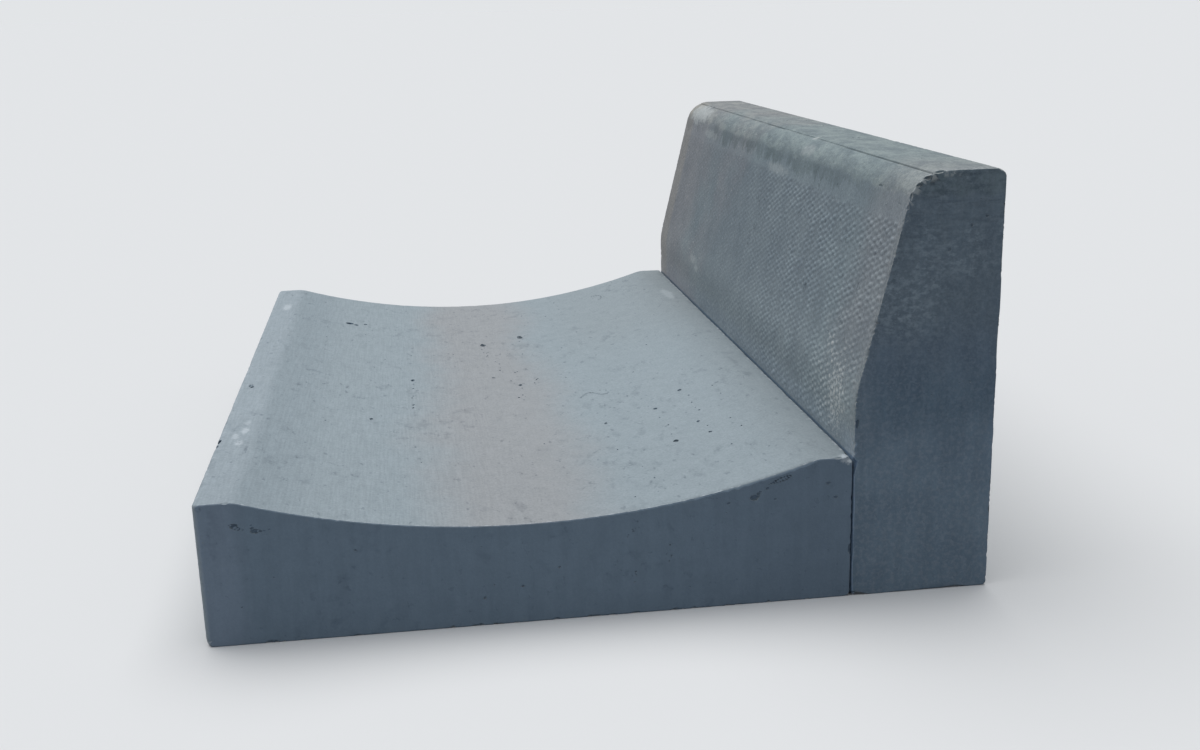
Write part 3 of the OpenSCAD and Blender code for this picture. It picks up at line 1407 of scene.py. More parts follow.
    def crumbled_seam(self, near: float) -> list[Hollow]:
        """Crumbles the edge beside the kerb stone, most of all near the near end.

        Args:
            near: Y of the near end.

        Returns:
            The hollows.
        """
        rng = np.random.default_rng(self.seed + 2)
        breaks = []
        for along in rng.uniform(0.0, 1.0, self.seam_breaks) ** 2 * self.length:
            wide, long = rng.uniform(0.8, 2.0) * MM, rng.uniform(2.0, 6.0) * MM
            place = (self.high.x - 0.5 * MM, near + along, self.high.z - 1.5 * MM)
            breaks.append(Hollow(place, (wide, long, 1.6 * MM), 0.5))
        return breaks

    def broken_bed(self, near: float) -> list[Hollow]:
        """Crumbles the bed's near edge.

        Args:
            near: Y of the near end.

        Returns:
            The hollows.
        """
        rng = np.random.default_rng(self.seed + 1)
        breaks = []
        for across in rng.uniform(40, 590, self.bed_breaks):
            wide, high = rng.uniform(2.0, 6.0) * MM, rng.uniform(1.2, 2.6) * MM
            breaks.append(Hollow((self.low.x + across * MM, near, 0.0), (wide, 2.2 * MM, high), 0.0))
        return breaks


class ShaderGroup:
    """A shader node group that gives masks and values over the surface."""

    name = "group"
    inputs: tuple[tuple[str, str], ...] = ()
    outputs: tuple[str, ...] = ()

    def __init__(self) -> None:
        """Makes the group, its sockets and its nodes."""
        self.tree = bpy.data.node_groups.new(self.name, "ShaderNodeTree")
        self.graph = Graph(self.tree)
        for name, kind in self.inputs:
            self.tree.interface.new_socket(name, in_out="INPUT", socket_type=kind)
        for name in self.outputs:
            self.tree.interface.new_socket(name, in_out="OUTPUT", socket_type="NodeSocketFloat")
        self.given = self.graph.node("NodeGroupInput").outputs
        self.graph.node("NodeGroupOutput", self.lay_out())

    def lay_out(self) -> dict[str | int, Feed]:
        """Adds the group's nodes and returns what each output gives."""
        raise NotImplementedError

    def place(self, graph: Graph, values: Mapping[str | int, Feed]) -> bpy.types.NodeOutputs:
        """Puts the group in a material.

        Args:
            graph: The material's nodes.
            values: One value for each named input.

        Returns:
            The group's outputs.
        """
        node = graph.node("ShaderNodeGroup", node_tree=self.tree)
        for key, value in values.items():
            graph.feed(node.inputs[key], value)
        return node.outputs


class GrainGroup(ShaderGroup):
    """Cement mottle, sand grain, small dark specks, short hairlines and soft smudges."""

    name = "concrete grain"
    inputs = (
        ("Vector", "NodeSocketVector"),
        ("Mottle scale", "NodeSocketFloat"),
        ("Grain scale", "NodeSocketFloat"),
        ("Speck scale", "NodeSocketFloat"),
    )
    outputs = ("Mottle", "Grain", "Specks", "Scuffs", "Smudges", "Height")

    def lay_out(self) -> dict[str | int, Feed]:
        """Adds the group's nodes.

        Returns:
            What each output gives.
        """
        g, given = self.graph, self.given
        mottle = g.noise(given["Vector"], given["Mottle scale"], 6.0, 0.66)
        grain = g.noise(given["Vector"], given["Grain scale"], 4.0, 0.72)
        drawn = g.vector("MULTIPLY", given["Vector"], (1.0, 0.5, 1.0))
        specks = g.ramp(g.noise(drawn, given["Speck scale"], 2.0, 0.5), 0.66, 0.75)
        bend = g.noise(given["Vector"], g.product(given["Speck scale"], 0.35), 2.0)
        bend = g.math("SUBTRACT", bend, 0.5)
        hairline = g.ramp(g.math("ABSOLUTE", bend), 0.004, 0.02, 1.0, 0.0)
        chosen = g.ramp(g.noise(given["Vector"], g.product(given["Speck scale"], 0.3), 2.0), 0.59, 0.64)
        crowd = g.ramp(g.noise(given["Vector"], g.product(given["Speck scale"], 0.06), 3.0), 0.42, 0.6)
        scuffs = g.product(hairline, chosen, g.ramp(crowd, 0.0, 1.0, 0.25, 1.0))
        blurred = g.ramp(g.noise(drawn, g.product(given["Speck scale"], 0.5), 3.0, 0.6), 0.52, 0.70)
        smudges = g.product(blurred, crowd)
        marks = g.math("MAXIMUM", specks, scuffs)
        height = g.math("SUBTRACT", g.math("ADD", grain, g.product(mottle, 0.6)), marks)
        masks = {"Specks": specks, "Scuffs": scuffs, "Smudges": smudges}
        return {"Mottle": mottle, "Grain": grain, "Height": height} | masks


class StreakGroup(ShaderGroup):
    """Faint streaks drawn out along one direction."""

    name = "cast streaks"
    inputs = (
        ("Vector", "NodeSocketVector"),
        ("Stretch", "NodeSocketVector"),
        ("Scale", "NodeSocketFloat"),
    )
    outputs = ("Streak",)

    def lay_out(self) -> dict[str | int, Feed]:
        """Adds the group's nodes and returns what each output gives."""
        g, given = self.graph, self.given
        drawn = g.vector("MULTIPLY", given["Vector"], given["Stretch"])
        return {"Streak": g.ramp(g.noise(drawn, given["Scale"], 3.0, 0.6), 0.3, 0.7)}


class WearGroup(ShaderGroup):
    """Pale, rubbed edges, broken up by chance."""

    name = "arris wear"
    inputs = (
        ("Vector", "NodeSocketVector"),
        ("Arris", "NodeSocketFloat"),
        ("Scale", "NodeSocketFloat"),
    )
    outputs = ("Wear",)

    def lay_out(self) -> dict[str | int, Feed]:
        """Adds the group's nodes and returns what each output gives."""
        g, given = self.graph, self.given
        chance = g.math("SUBTRACT", g.noise(given["Vector"], given["Scale"], 4.0, 0.65), 0.5)
        return {"Wear": g.ramp(g.math("ADD", given["Arris"], g.product(chance, 2.2)), 0.6, 1.1)}


class SpotGroup(ShaderGroup):
    """A soft, ragged patch round one place."""

    name = "ragged spot"
    inputs = (
        ("Vector", "NodeSocketVector"),
        ("Middle", "NodeSocketVector"),
        ("Reach", "NodeSocketVector"),
        ("Scale", "NodeSocketFloat"),
        ("Raggedness", "NodeSocketFloat"),
    )
    outputs = ("Mask",)

    def lay_out(self) -> dict[str | int, Feed]:
        """Adds the group's nodes.

        Returns:
            What each output gives.
        """
        g, given = self.graph, self.given
        away = g.vector("DIVIDE", g.vector("SUBTRACT", given["Vector"], given["Middle"]), given["Reach"])
        distance = g.node("ShaderNodeVectorMath", {0: away}, operation="LENGTH").outputs["Value"]
        chance = g.math("SUBTRACT", g.noise(given["Vector"], given["Scale"], 4.0, 0.65), 0.5)
        ragged = g.math("ADD", distance, g.product(chance, given["Raggedness"]))
        return {"Mask": g.ramp(ragged, 0.35, 1.0, 1.0, 0.0)}


@dataclass
class ShaderKit:
    """The shader groups that both finishes use."""

    grain: GrainGroup = field(default_factory=GrainGroup)
    streaks: StreakGroup = field(default_factory=StreakGroup)
    wear: WearGroup = field(default_factory=WearGroup)
    spots: SpotGroup = field(default_factory=SpotGroup)


@dataclass(frozen=True)
class Spot:
    """A pale patch: its middle, how far it reaches each way and how strong it is."""

    middle: Triple
    reach: Triple
    share: float = 0.6
    scale: float = 90.0
    raggedness: float = 1.6


@dataclass
class Coat:
    """A stone's colour while its finish builds it up, and what it is built from."""

    graph: Graph
    place: Socket
    kit: ShaderKit
    colour: Socket

    def tint(self, tint: Triple, *shares: Feed) -> None:
        """Tints the colour by the product of the shares."""
        self.colour = self.graph.tinted(self.graph.product(*shares), self.colour, tint)

    def cover(self, cover: Triple, *shares: Feed) -> None:
        """Covers the colour by the product of the shares."""
        self.colour = self.graph.mix(self.graph.product(*shares), self.colour, (*cover, 1.0))

    def carried(self, mark: Mark) -> Socket:
        """Returns a value that the mesh carries."""
        return self.graph.node("ShaderNodeAttribute", attribute_name=mark.value).outputs["Fac"]

    def facing(self) -> tuple[Socket, Socket, Socket]:
        """Returns the three parts of the surface's normal."""
        return self.graph.split(self.graph.node("ShaderNodeNewGeometry").outputs["Normal"])

    def on_end(self) -> Socket:
        """Returns 1 on both ends and 0 elsewhere."""
        return self.graph.ramp(self.graph.math("ABSOLUTE", self.facing()[1]), 0.6, 0.92)

    def on_front(self) -> Socket:
        """Returns 1 on the road side and 0 on the back."""
        return self.graph.ramp(self.facing()[0], -0.4, 0.1, 1.0, 0.0)

    def streak(self, stretch: Triple, scale: float) -> Socket:
        """Returns streaks drawn out along one direction."""
        values = {"Vector": self.place, "Stretch": stretch, "Scale": scale}
        return self.kit.streaks.place(self.graph, values)["Streak"]

    def wear(self, arris: Socket, scale: float) -> Socket:
        """Returns where an edge is rubbed, broken up by chance."""
        values = {"Vector": self.place, "Arris": arris, "Scale": scale}
        return self.kit.wear.place(self.graph, values)["Wear"]

    def spot(self, spot: Spot) -> Socket:
        """Works out where a patch lies.

        Args:
            spot: The patch.

        Returns:
            Its share over the surface.
        """
        values = {"Vector": self.place, "Middle": spot.middle, "Reach": spot.reach}
        values |= {"Scale": spot.scale, "Raggedness": spot.raggedness}
        return self.graph.product(self.kit.spots.place(self.graph, values)["Mask"], spot.share)


@dataclass(frozen=True)
class ConcreteFinish:
    """What the finishes of both stones share."""

    name: str
    dark: Triple
    light: Triple
    # Tint of both ends: partly their own darker tone, partly painted shade and blue sky light.
    end_tone_and_shade: Triple
    pale: Triple = (0.50, 0.54, 0.56)
    crumb: Triple = (0.26, 0.30, 0.33)
    speck: Triple = (0.55, 0.57, 0.60)
    # Colour of grime with painted shade in the hollows and along the joint.
    dirt: Triple = (0.44, 0.50, 0.57)
    # Painted blue shade on the faces inside the joint between the stones.
    joint: Triple = (0.55, 0.66, 0.80)
    spots: tuple[Spot, ...] = ()
    mottle_scale: float = 20.0
    grain_scale: float = 380.0
    speck_scale: float = 150.0
    wear_scale: float = 150.0
    crumb_scale: float = 240.0
    sand_share: float = 0.1
    speck_share: float = 0.5
    scuff_share: float = 0.8
    smudge_share: float = 0.0
    wear_share: float = 0.55
    rim_share: float = 0.6
    on_end_share: float = 0.4
    end_streak: float = 0.04
    bump_depth: float = 0.3 * MM
    bump_strength: float = 0.5
    roughness: float = 0.9
    specular: float = 0.25

    def material(self, kit: ShaderKit) -> bpy.types.Material:
        """Makes the finish's material.

        Args:
            kit: The shader groups to build it from.

        Returns:
            The material.
        """
        material = bpy.data.materials.new(self.name)
        material.use_nodes = True
        g = Graph(material.node_tree)
        place = g.node("ShaderNodeTexCoord").outputs["Object"]
        scales = {
            "Vector": place,
            "Mottle scale": self.mottle_scale,
            "Grain scale": self.grain_scale,
            "Speck scale": self.speck_scale,
        }
        parts = kit.grain.place(g, scales)
        colour = g.mix(g.ramp(parts["Mottle"], 0.3, 0.7), (*self.dark, 1.0), (*self.light, 1.0))
        coat = Coat(g, place, kit, colour)
        self.weather_and_shading(coat)
        self.ends(coat)
        for spot in self.spots:
            coat.cover(self.pale, coat.spot(spot))
        self.grain(coat, parts)
        self.edges(coat)
        # Grime with painted shade in the hollows.
        coat.tint(self.dirt, coat.carried(Mark.DIRT))
        bump = {"Height": parts["Height"], "Distance": self.bump_depth, "Strength": self.bump_strength}
        shader = material.node_tree.nodes["Principled BSDF"]
        shader.inputs["Roughness"].default_value = self.roughness
        shader.inputs["Specular IOR Level"].default_value = self.specular
        g.feed(shader.inputs["Base Color"], coat.colour)
        g.feed(shader.inputs["Normal"], g.result("ShaderNodeBump", bump))
        return material

    def grain(self, coat: Coat, parts: bpy.types.NodeOutputs) -> None:
        """Adds sand, specks, hairlines and smudges, fewer of them on the ends.

        Args:
            coat: The colour to change.
            parts: What the grain group gives.
        """
        g, on_end = coat.graph, coat.on_end()
        sandy = g.ramp(on_end, 0.0, 1.0, self.sand_share, self.sand_share * self.on_end_share)
        sand = g.ramp(parts["Grain"], 0.25, 0.75, -1.0, 1.0)
        coat.colour = g.shaded(coat.colour, g.math("ADD", 1.0, g.product(sand, sandy)))
        specked = g.ramp(on_end, 0.0, 1.0, self.speck_share, self.speck_share * self.on_end_share)
        coat.tint(self.speck, parts["Specks"], specked)
        scuffed = g.math("SUBTRACT", self.scuff_share, g.product(on_end, self.scuff_share, 0.9))
        coat.tint(self.speck, parts["Scuffs"], scuffed)
        coat.tint(self.speck, parts["Smudges"], self.smudge_share)

    def edges(self, coat: Coat) -> None:
        """Rubs the edges pale, crumbles the rims of the ends and paints shade, with some grime, in the
        joint.

        Args:
            coat: The colour to change.
        """
        g = coat.graph
        on_end, seam, edge = coat.on_end(), coat.carried(Mark.SEAM), coat.carried(Mark.ARRIS)
        off_end, off_seam = (g.math("SUBTRACT", 1.0, mask) for mask in (on_end, seam))
        arris = g.product(edge, off_end)
        worn = coat.wear(arris, self.wear_scale)
        coat.cover(self.pale, worn, self.rubbed(coat), off_seam, self.wear_share)
        rim = g.product(edge, on_end, self.rim_share)
        crumbled = coat.wear(rim, self.crumb_scale)
        coat.cover(self.crumb, crumbled, on_end, off_seam, self.rim_share)
        # Grime with painted shade on the rounded edges at the joint, and painted blue shade on the faces
        # inside it.
        coat.tint(self.dirt, arris, seam)
        coat.tint(self.joint, seam, off_end)

    def weather_and_shading(self, coat: Coat) -> None:
        """Adds the stone's own stains, wear and some painted light and shade to the colour."""
        raise NotImplementedError

    def rubbed(self, coat: Coat) -> Socket:
        """Returns how much the edges are rubbed pale at each place."""
        raise NotImplementedError

    def ends(self, coat: Coat) -> None:
        """Darkens and blues both ends, partly their own tone and partly painted shade and sky light, with
        faint upright streaks.

        Args:
            coat: The colour to change.
        """
        g, streak = coat.graph, coat.streak((1.0, 1.0, 0.12), 90.0)
        shade = g.ramp(streak, 0.0, 1.0, 1.0 - self.end_streak, 1.0 + self.end_streak)
        # The ends' own darker tone with painted shade and blue sky light.
        tinted = g.shaded(g.tinted(1.0, coat.colour, self.end_tone_and_shade), shade)
        coat.colour = g.mix(coat.on_end(), coat.colour, tinted)


@dataclass(frozen=True)
class KerbFinish(ConcreteFinish):
    """Grey concrete, rubbed pale on the nose, with grime and painted shade in the knurl's grooves,
    painted light on its crests and lime on the ends.
    """

    nose_tint: Triple = (0.755, 0.775, 0.765)
    bare_tint: Triple = (1.50, 1.45, 1.36)
    foot_tint: Triple = (1.20, 1.18, 1.15)
    splash_tint: Triple = (1.10, 1.11, 1.15)
    middle_tint: Triple = (0.95, 0.94, 0.955)
    top_tint: Triple = (0.96, 0.945, 0.935)
    # Drips with painted shade in the band under the nose.
    drip_and_shade_tint: Triple = (0.67, 0.70, 0.69)
    rosy_tint: Triple = (1.14, 1.0, 0.98)
    sandy_tint: Triple = (1.14, 1.07, 0.99)
    # Painted shade in the open groove of the mould line.
    mould_line_shade: Triple = (0.32, 0.34, 0.36)
    low_end_tint: Triple = (1.30, 1.21, 1.21)
    strip_tint: Triple = (1.22, 1.16, 1.12)
    belt_tint: Triple = (0.97, 0.95, 0.99)
    high_end_tint: Triple = (1.03, 0.98, 0.96)
    streak_tint: Triple = (0.68, 0.70, 0.72)
    border_colour: Triple = (0.36, 0.375, 0.385)
    lime: Triple = (0.30, 0.365, 0.42)
    bloom: Spot = Spot((0.235, -0.425, 0.19), (0.06, 0.090, 0.085), 0.8, 60.0, 1.4)
    crumbs: Spot = Spot((0.235, -0.440, 0.178), (0.05, 0.032, 0.038), 0.72, 200.0, 2.4)
    broken: Spot = Spot((0.293, -0.500, 0.388), (0.034, 0.014, 0.034), 0.65, 260.0, 2.6)
    # Painted highlight on the knurl's crests, and grime with painted shade in its grooves.
    crest_highlight_gain: float = 0.50
    groove_grime_and_shade: float = 0.12
    border_share: float = 0.5
    streak_share: float = 0.5
    lime_share: float = 0.8
    foot_band: Band = (0.17, 0.25)
    splash_band: Band = (0.145, 0.175)
    corner_band: Band = (-0.49, -0.45)
    middle_start: Band = (-0.42, -0.25)
    middle_end: Band = (0.1, 0.3)
    upper_band: Band = (0.11, 0.2)
    lime_band: Band = (0.22, 0.30)
    streak_band: Band = (0.30, 0.37)
    strip_across: Band = (0.240, 0.258)
    strip_foot: Band = (0.14, 0.165)
    strip_head: Band = (0.20, 0.27)
    nose_low: float = 375 * MM
    nose_high: float = 381 * MM
    # Foot of the dark band under the nose, drips with painted shade.
    drip_and_shade_low: float = 365 * MM
    border: float = 20 * MM
    half_length: float = 0.5

    def weather_and_shading(self, coat: Coat) -> None:
        """Adds the wear and stains on the knurl, the foot, the nose and the borders, with painted light
        and shade on the knurl and under the nose.

        Args:
            coat: The colour to change.
        """
        g = coat.graph
        fleck = g.ramp(g.noise(coat.place, 210.0, 4.0, 0.7), 0.44, 0.62)
        self.knurl_wear_and_shading(coat, fleck)
        self.foot_wear(coat)
        self.drifts(coat)
        self.nose(coat)
        self.borders(coat, fleck)

    def knurl_wear_and_shading(self, coat: Coat, fleck: Socket) -> None:
        """Paints light on the knurl's crests and grime with painted shade in its grooves, and bares pale
        crumbs and crystals.

        Args:
            coat: The colour to change.
            fleck: Where small flecks lie.
        """
        g, place = coat.graph, coat.place
        relief, knurled = coat.carried(Mark.RELIEF), coat.carried(Mark.KNURL)
        # Painted highlight on the crests, and grime with painted shade in the grooves.
        crest_light_groove_shade = g.math("SUBTRACT", g.product(relief, self.crest_highlight_gain), self.groove_grime_and_shade)
        coat.colour = g.shaded(coat.colour, g.math("ADD", 1.0, g.product(knurled, crest_light_groove_shade)))
        coat.cover(self.pale, coat.spot(self.bloom), g.ramp(relief, 0.15, 0.6), fleck)
        on_front = coat.on_front()
        chunk = g.ramp(g.noise(place, 240.0, 3.0, 0.65), 0.45, 0.58)
        coat.cover(self.pale, coat.spot(self.crumbs), chunk, on_front)
        crystals = g.ramp(g.noise(place, 300.0, 3.0, 0.6), 0.60, 0.70)
        share = g.ramp(g.split(place)[1], -0.3, 0.2, 0.24, 0.46)
        coat.cover(self.pale, crystals, on_front, share)

    def foot_wear(self, coat: Coat) -> None:
        """Pales the foot of the road face, most of all beside the joint, and dulls its middle.

        Args:
            coat: The colour to change.
        """
        g, on_front = coat.graph, coat.on_front()
        _, y, z = g.split(coat.place)
        coat.tint(self.foot_tint, g.ramp(z, *self.foot_band, 1.0, 0.0), on_front)
        splashed = g.product(g.ramp(z, *self.splash_band, 1.0, 0.0), on_front)
        coat.tint(self.splash_tint, splashed)
        coat.tint(self.splash_tint, splashed, g.ramp(y, *self.corner_band, 1.0, 0.0))
        start, end = g.ramp(y, *self.middle_start), g.ramp(y, *self.middle_end, 1.0, 0.0)
        coat.tint(self.middle_tint, start, end, coat.carried(Mark.KNURL))

    def borders(self, coat: Coat, fleck: Socket) -> None:
        """Pales the border at the near end and warms the one at the far end.

        Args:
            coat: The colour to change.
            fleck: Where small flecks lie.
        """
        g = coat.graph
        _, y, _ = g.split(coat.place)
        from_end = g.math("ADD", y, self.half_length)
        edge = g.ramp(from_end, self.border * 0.3, self.border, 1.0, 0.0)
        coat.cover(self.border_colour, edge, fleck, self.border_share)
        far = g.ramp(y, self.half_length - 3 * self.border, self.half_length - 2 * self.border)
        coat.tint(self.sandy_tint, far, coat.on_front())

    def drifts(self, coat: Coat) -> None:
        """Adds rosy drifts over the far part and along the near edge of the road face.

        Args:
            coat: The colour to change.
        """
        g = coat.graph
        _, y, z = g.split(coat.place)
        drift = g.math("SUBTRACT", g.noise(coat.place, 6.0, 4.0), 0.5)
        far = g.ramp(g.math("ADD", y, g.product(drift, 0.9)), 0.0, 0.32)
        near = g.ramp(g.math("ADD", y, g.product(drift, 0.2)), -0.46, -0.36, 1.0, 0.0)
        near = g.product(near, g.ramp(z, 0.18, 0.26, 0.1, 0.6))
        coat.tint(self.rosy_tint, g.math("MAXIMUM", far, near))

    def nose(self, coat: Coat) -> None:
        """Adds the dark band under the nose, partly drips and partly painted shade, its bare blotches and
        painted shade in the open mould line.

        Args:
            coat: The colour to change.
        """
        g = coat.graph
        _, y, z = g.split(coat.place)
        drawn = g.vector("MULTIPLY", coat.place, (1.0, 0.4, 1.0))
        chance = g.math("SUBTRACT", g.noise(drawn, 55.0, 5.0, 0.65), 0.5)
        height = g.math("ADD", z, g.product(chance, 22 * MM))
        drip = g.math("SUBTRACT", coat.streak((1.0, 0.8, 0.3), 60.0), 0.5)
        hanging = g.math("ADD", z, g.product(drip, 18 * MM))
        # The band under the nose is partly drips and partly painted shade where the round turns away from
        # the light.
        under = g.ramp(hanging, self.drip_and_shade_low - 4 * MM, self.drip_and_shade_low + 4 * MM)
        broken = g.ramp(g.noise(g.joined(0.0, y, 0.0), 16.0, 4.0, 0.65), 0.36, 0.58, 0.35, 1.0)
        spread = g.product(g.ramp(y, -0.42, -0.2, 0.3, 1.0), g.ramp(y, 0.2, 0.42, 1.0, 0.4))
        below = g.ramp(height, self.nose_low, self.nose_high, 1.0, 0.0)
        coat.tint(self.drip_and_shade_tint, under, broken, spread, below, coat.on_front())
        on_nose = g.ramp(height, self.nose_low, self.nose_high)
        coat.tint(self.nose_tint, on_nose)
        bare = g.ramp(g.noise(drawn, 60.0, 6.0, 0.78), 0.36, 0.64)
        coat.tint(self.bare_tint, bare, on_nose)
        coat.tint(self.top_tint, g.ramp(coat.facing()[2], 0.9, 0.98))
        # Painted shade in the mould line where its groove is open.
        coat.tint(self.mould_line_shade, g.ramp(coat.carried(Mark.GROOVE), 0.0, 0.6))

    def rubbed(self, coat: Coat) -> Socket:
        """Returns how much the edges are rubbed pale at each place."""
        return coat.graph.ramp(coat.graph.split(coat.place)[2], 0.10, 0.17, 0.4, 1.0)

    def ends(self, coat: Coat) -> None:
        """Paints shade and sky light on both ends, tints them in belts, with a paler strip beside the
        road face, and adds the lime.

        Args:
            coat: The colour to change.
        """
        super().ends(coat)
        g, on_end = coat.graph, coat.on_end()
        x, _, z = g.split(coat.place)
        drift = g.product(g.math("SUBTRACT", g.noise(coat.place, 12.0, 3.0), 0.5), 0.14)
        height = g.math("ADD", z, drift)
        upper, limed = g.ramp(height, *self.upper_band), g.ramp(height, *self.lime_band)
        lower, unlimed = (g.math("SUBTRACT", 1.0, mask) for mask in (upper, limed))
        limed = g.product(on_end, limed)
        coat.tint(self.low_end_tint, on_end, lower)
        coat.tint(self.belt_tint, on_end, upper, unlimed)
        coat.tint(self.high_end_tint, limed)
        strip = g.product(g.ramp(x, *self.strip_across, 1.0, 0.0), g.ramp(z, *self.strip_foot))
        coat.tint(self.strip_tint, strip, g.ramp(z, *self.strip_head, 1.0, 0.0), on_end)
        self.lime_marks(coat, limed)

    def lime_marks(self, coat: Coat, limed: Socket) -> None:
        """Adds lime in clouds, short level streaks above and crumbs round the broken nose.

        Args:
            coat: The colour to change.
            limed: Where the lime lies.
        """
        g, place = coat.graph, coat.place
        cloud = g.ramp(g.noise(place, 13.0, 5.0, 0.65), 0.44, 0.64)
        drawn = g.vector("MULTIPLY", place, (0.6, 1.0, 1.0))
        fleck = g.ramp(g.noise(drawn, 170.0, 4.0, 0.7), 0.44, 0.62)
        coat.cover(self.lime, limed, cloud, fleck, self.lime_share)
        level = g.ramp(coat.streak((0.14, 1.0, 1.0), 150.0), 0.5, 0.9)
        high = g.ramp(g.split(place)[2], *self.streak_band)
        coat.tint(self.streak_tint, coat.on_end(), high, level, self.streak_share)
        rim = g.ramp(coat.carried(Mark.ARRIS), 0.3, 0.8)
        coat.cover(self.pale, coat.spot(self.broken), rim)


@dataclass(frozen=True)
class ChannelFinish(ConcreteFinish):
    """Blue-grey concrete with a faint warm stain along the dish and a rubbed lip."""

    stain: Triple = (1.07, 0.955, 0.915)
    stain_x: float = -75 * MM
    stain_half_width: float = 95 * MM
    lip_x: float = -330 * MM
    lip_tint: Triple = (1.04, 1.03, 1.04)
    # Painted shade on the slope just inside the road-side lip.
    slope_shade_tint: Triple = (0.92, 0.93, 0.94)
    near_tint: Triple = (0.955, 0.955, 0.955)
    far_tint: Triple = (0.97, 0.955, 0.945)
    slope_across: Band = (-0.31, -0.25)
    near_along: Band = (-0.45, -0.15)
    far_across: Band = (-0.02, 0.1)
    far_along: Band = (0.0, 0.25)
    corner_across: Band = (0.15, 0.225)
    seam_across: Band = (0.02, 0.2)
    road_across: Band = (-0.345, -0.315)
    # Painted shade along the ledge beside the kerb stone, where the kerb stone hides the sky.
    corner_shade_tint: Triple = (0.88, 0.87, 0.86)
    seam_end_tint: Triple = (0.90, 0.90, 0.91)
    # Painted highlight along the end's road-side edge, where its rounded arris turns to the light.
    road_edge_highlight: Triple = (1.12, 1.08, 1.07)

    def weather_and_shading(self, coat: Coat) -> None:
        """Adds the stain, fine mould streaks, the rubbed lip, painted shade on the slope beside it,
        duller parts and painted shade along the ledge beside the kerb stone.

        Args:
            coat: The colour to change.
        """
        g = coat.graph
        x, y, _ = g.split(coat.place)
        upward = g.ramp(coat.facing()[2], 0.3, 0.7)
        ragged = g.math("SUBTRACT", g.noise(coat.place, 7.0, 5.0, 0.6), 0.5)
        off = g.math("SUBTRACT", g.math("ADD", x, g.product(ragged, 90 * MM)), self.stain_x)
        width = g.ramp(y, -0.5, 0.5, self.stain_half_width, self.stain_half_width * 0.8)
        stained = g.ramp(g.math("DIVIDE", g.math("ABSOLUTE", off), width), 0.3, 1.35, 1.0, 0.0)
        coat.tint(self.stain, stained, upward)

        line = g.ramp(coat.streak((1.0, 0.05, 0.2), 480.0), 0.0, 1.0, 0.95, 1.04)
        road_half = g.ramp(x, -0.16, 0.0, 1.0, 0.2)
        lined = g.shaded(coat.colour, line)
        coat.colour = g.mix(g.product(road_half, upward), coat.colour, lined)

        edge = g.math("ADD", x, g.product(ragged, 16 * MM))
        lip = g.ramp(edge, self.lip_x - 10 * MM, self.lip_x + 10 * MM, 1.0, 0.0)
        coat.tint(self.lip_tint, lip)
        off_lip = g.math("SUBTRACT", 1.0, lip)
        # Painted shade on the slope that falls from the road-side lip into the dish.
        coat.tint(self.slope_shade_tint, off_lip, g.ramp(x, *self.slope_across, 1.0, 0.0), upward)
        coat.tint(self.near_tint, g.ramp(y, *self.near_along, 1.0, 0.0), upward)
        coat.tint(self.far_tint, g.ramp(x, *self.far_across), g.ramp(y, *self.far_along), upward)
        # Painted shade along the ledge beside the kerb stone.
        coat.tint(self.corner_shade_tint, g.ramp(x, *self.corner_across), upward)

    def rubbed(self, coat: Coat) -> Socket:
        """Works out how much the edges are rubbed pale.

        Args:
            coat: What the colour is built from.

        Returns:
            The share over the surface.
        """
        g = coat.graph
        x, _, z = g.split(coat.place)
        inner = g.ramp(x, -0.364, -0.358, 0.35, 1.0)
        return g.product(g.ramp(z, 0.02, 0.07, 0.8, 1.0), inner)

    def ends(self, coat: Coat) -> None:
        """Paints shade and sky light on both ends, darker towards the kerb stone, and a painted highlight
        along the road-side edge.

        Args:
            coat: The colour to change.
        """
        super().ends(coat)
        g, on_end = coat.graph, coat.on_end()
        x = g.split(coat.place)[0]
        coat.tint(self.seam_end_tint, on_end, g.ramp(x, *self.seam_across))
        # Painted highlight along the road-side edge of both ends.
        coat.tint(self.road_edge_highlight, on_end, g.ramp(x, *self.road_across, 1.0, 0.0))


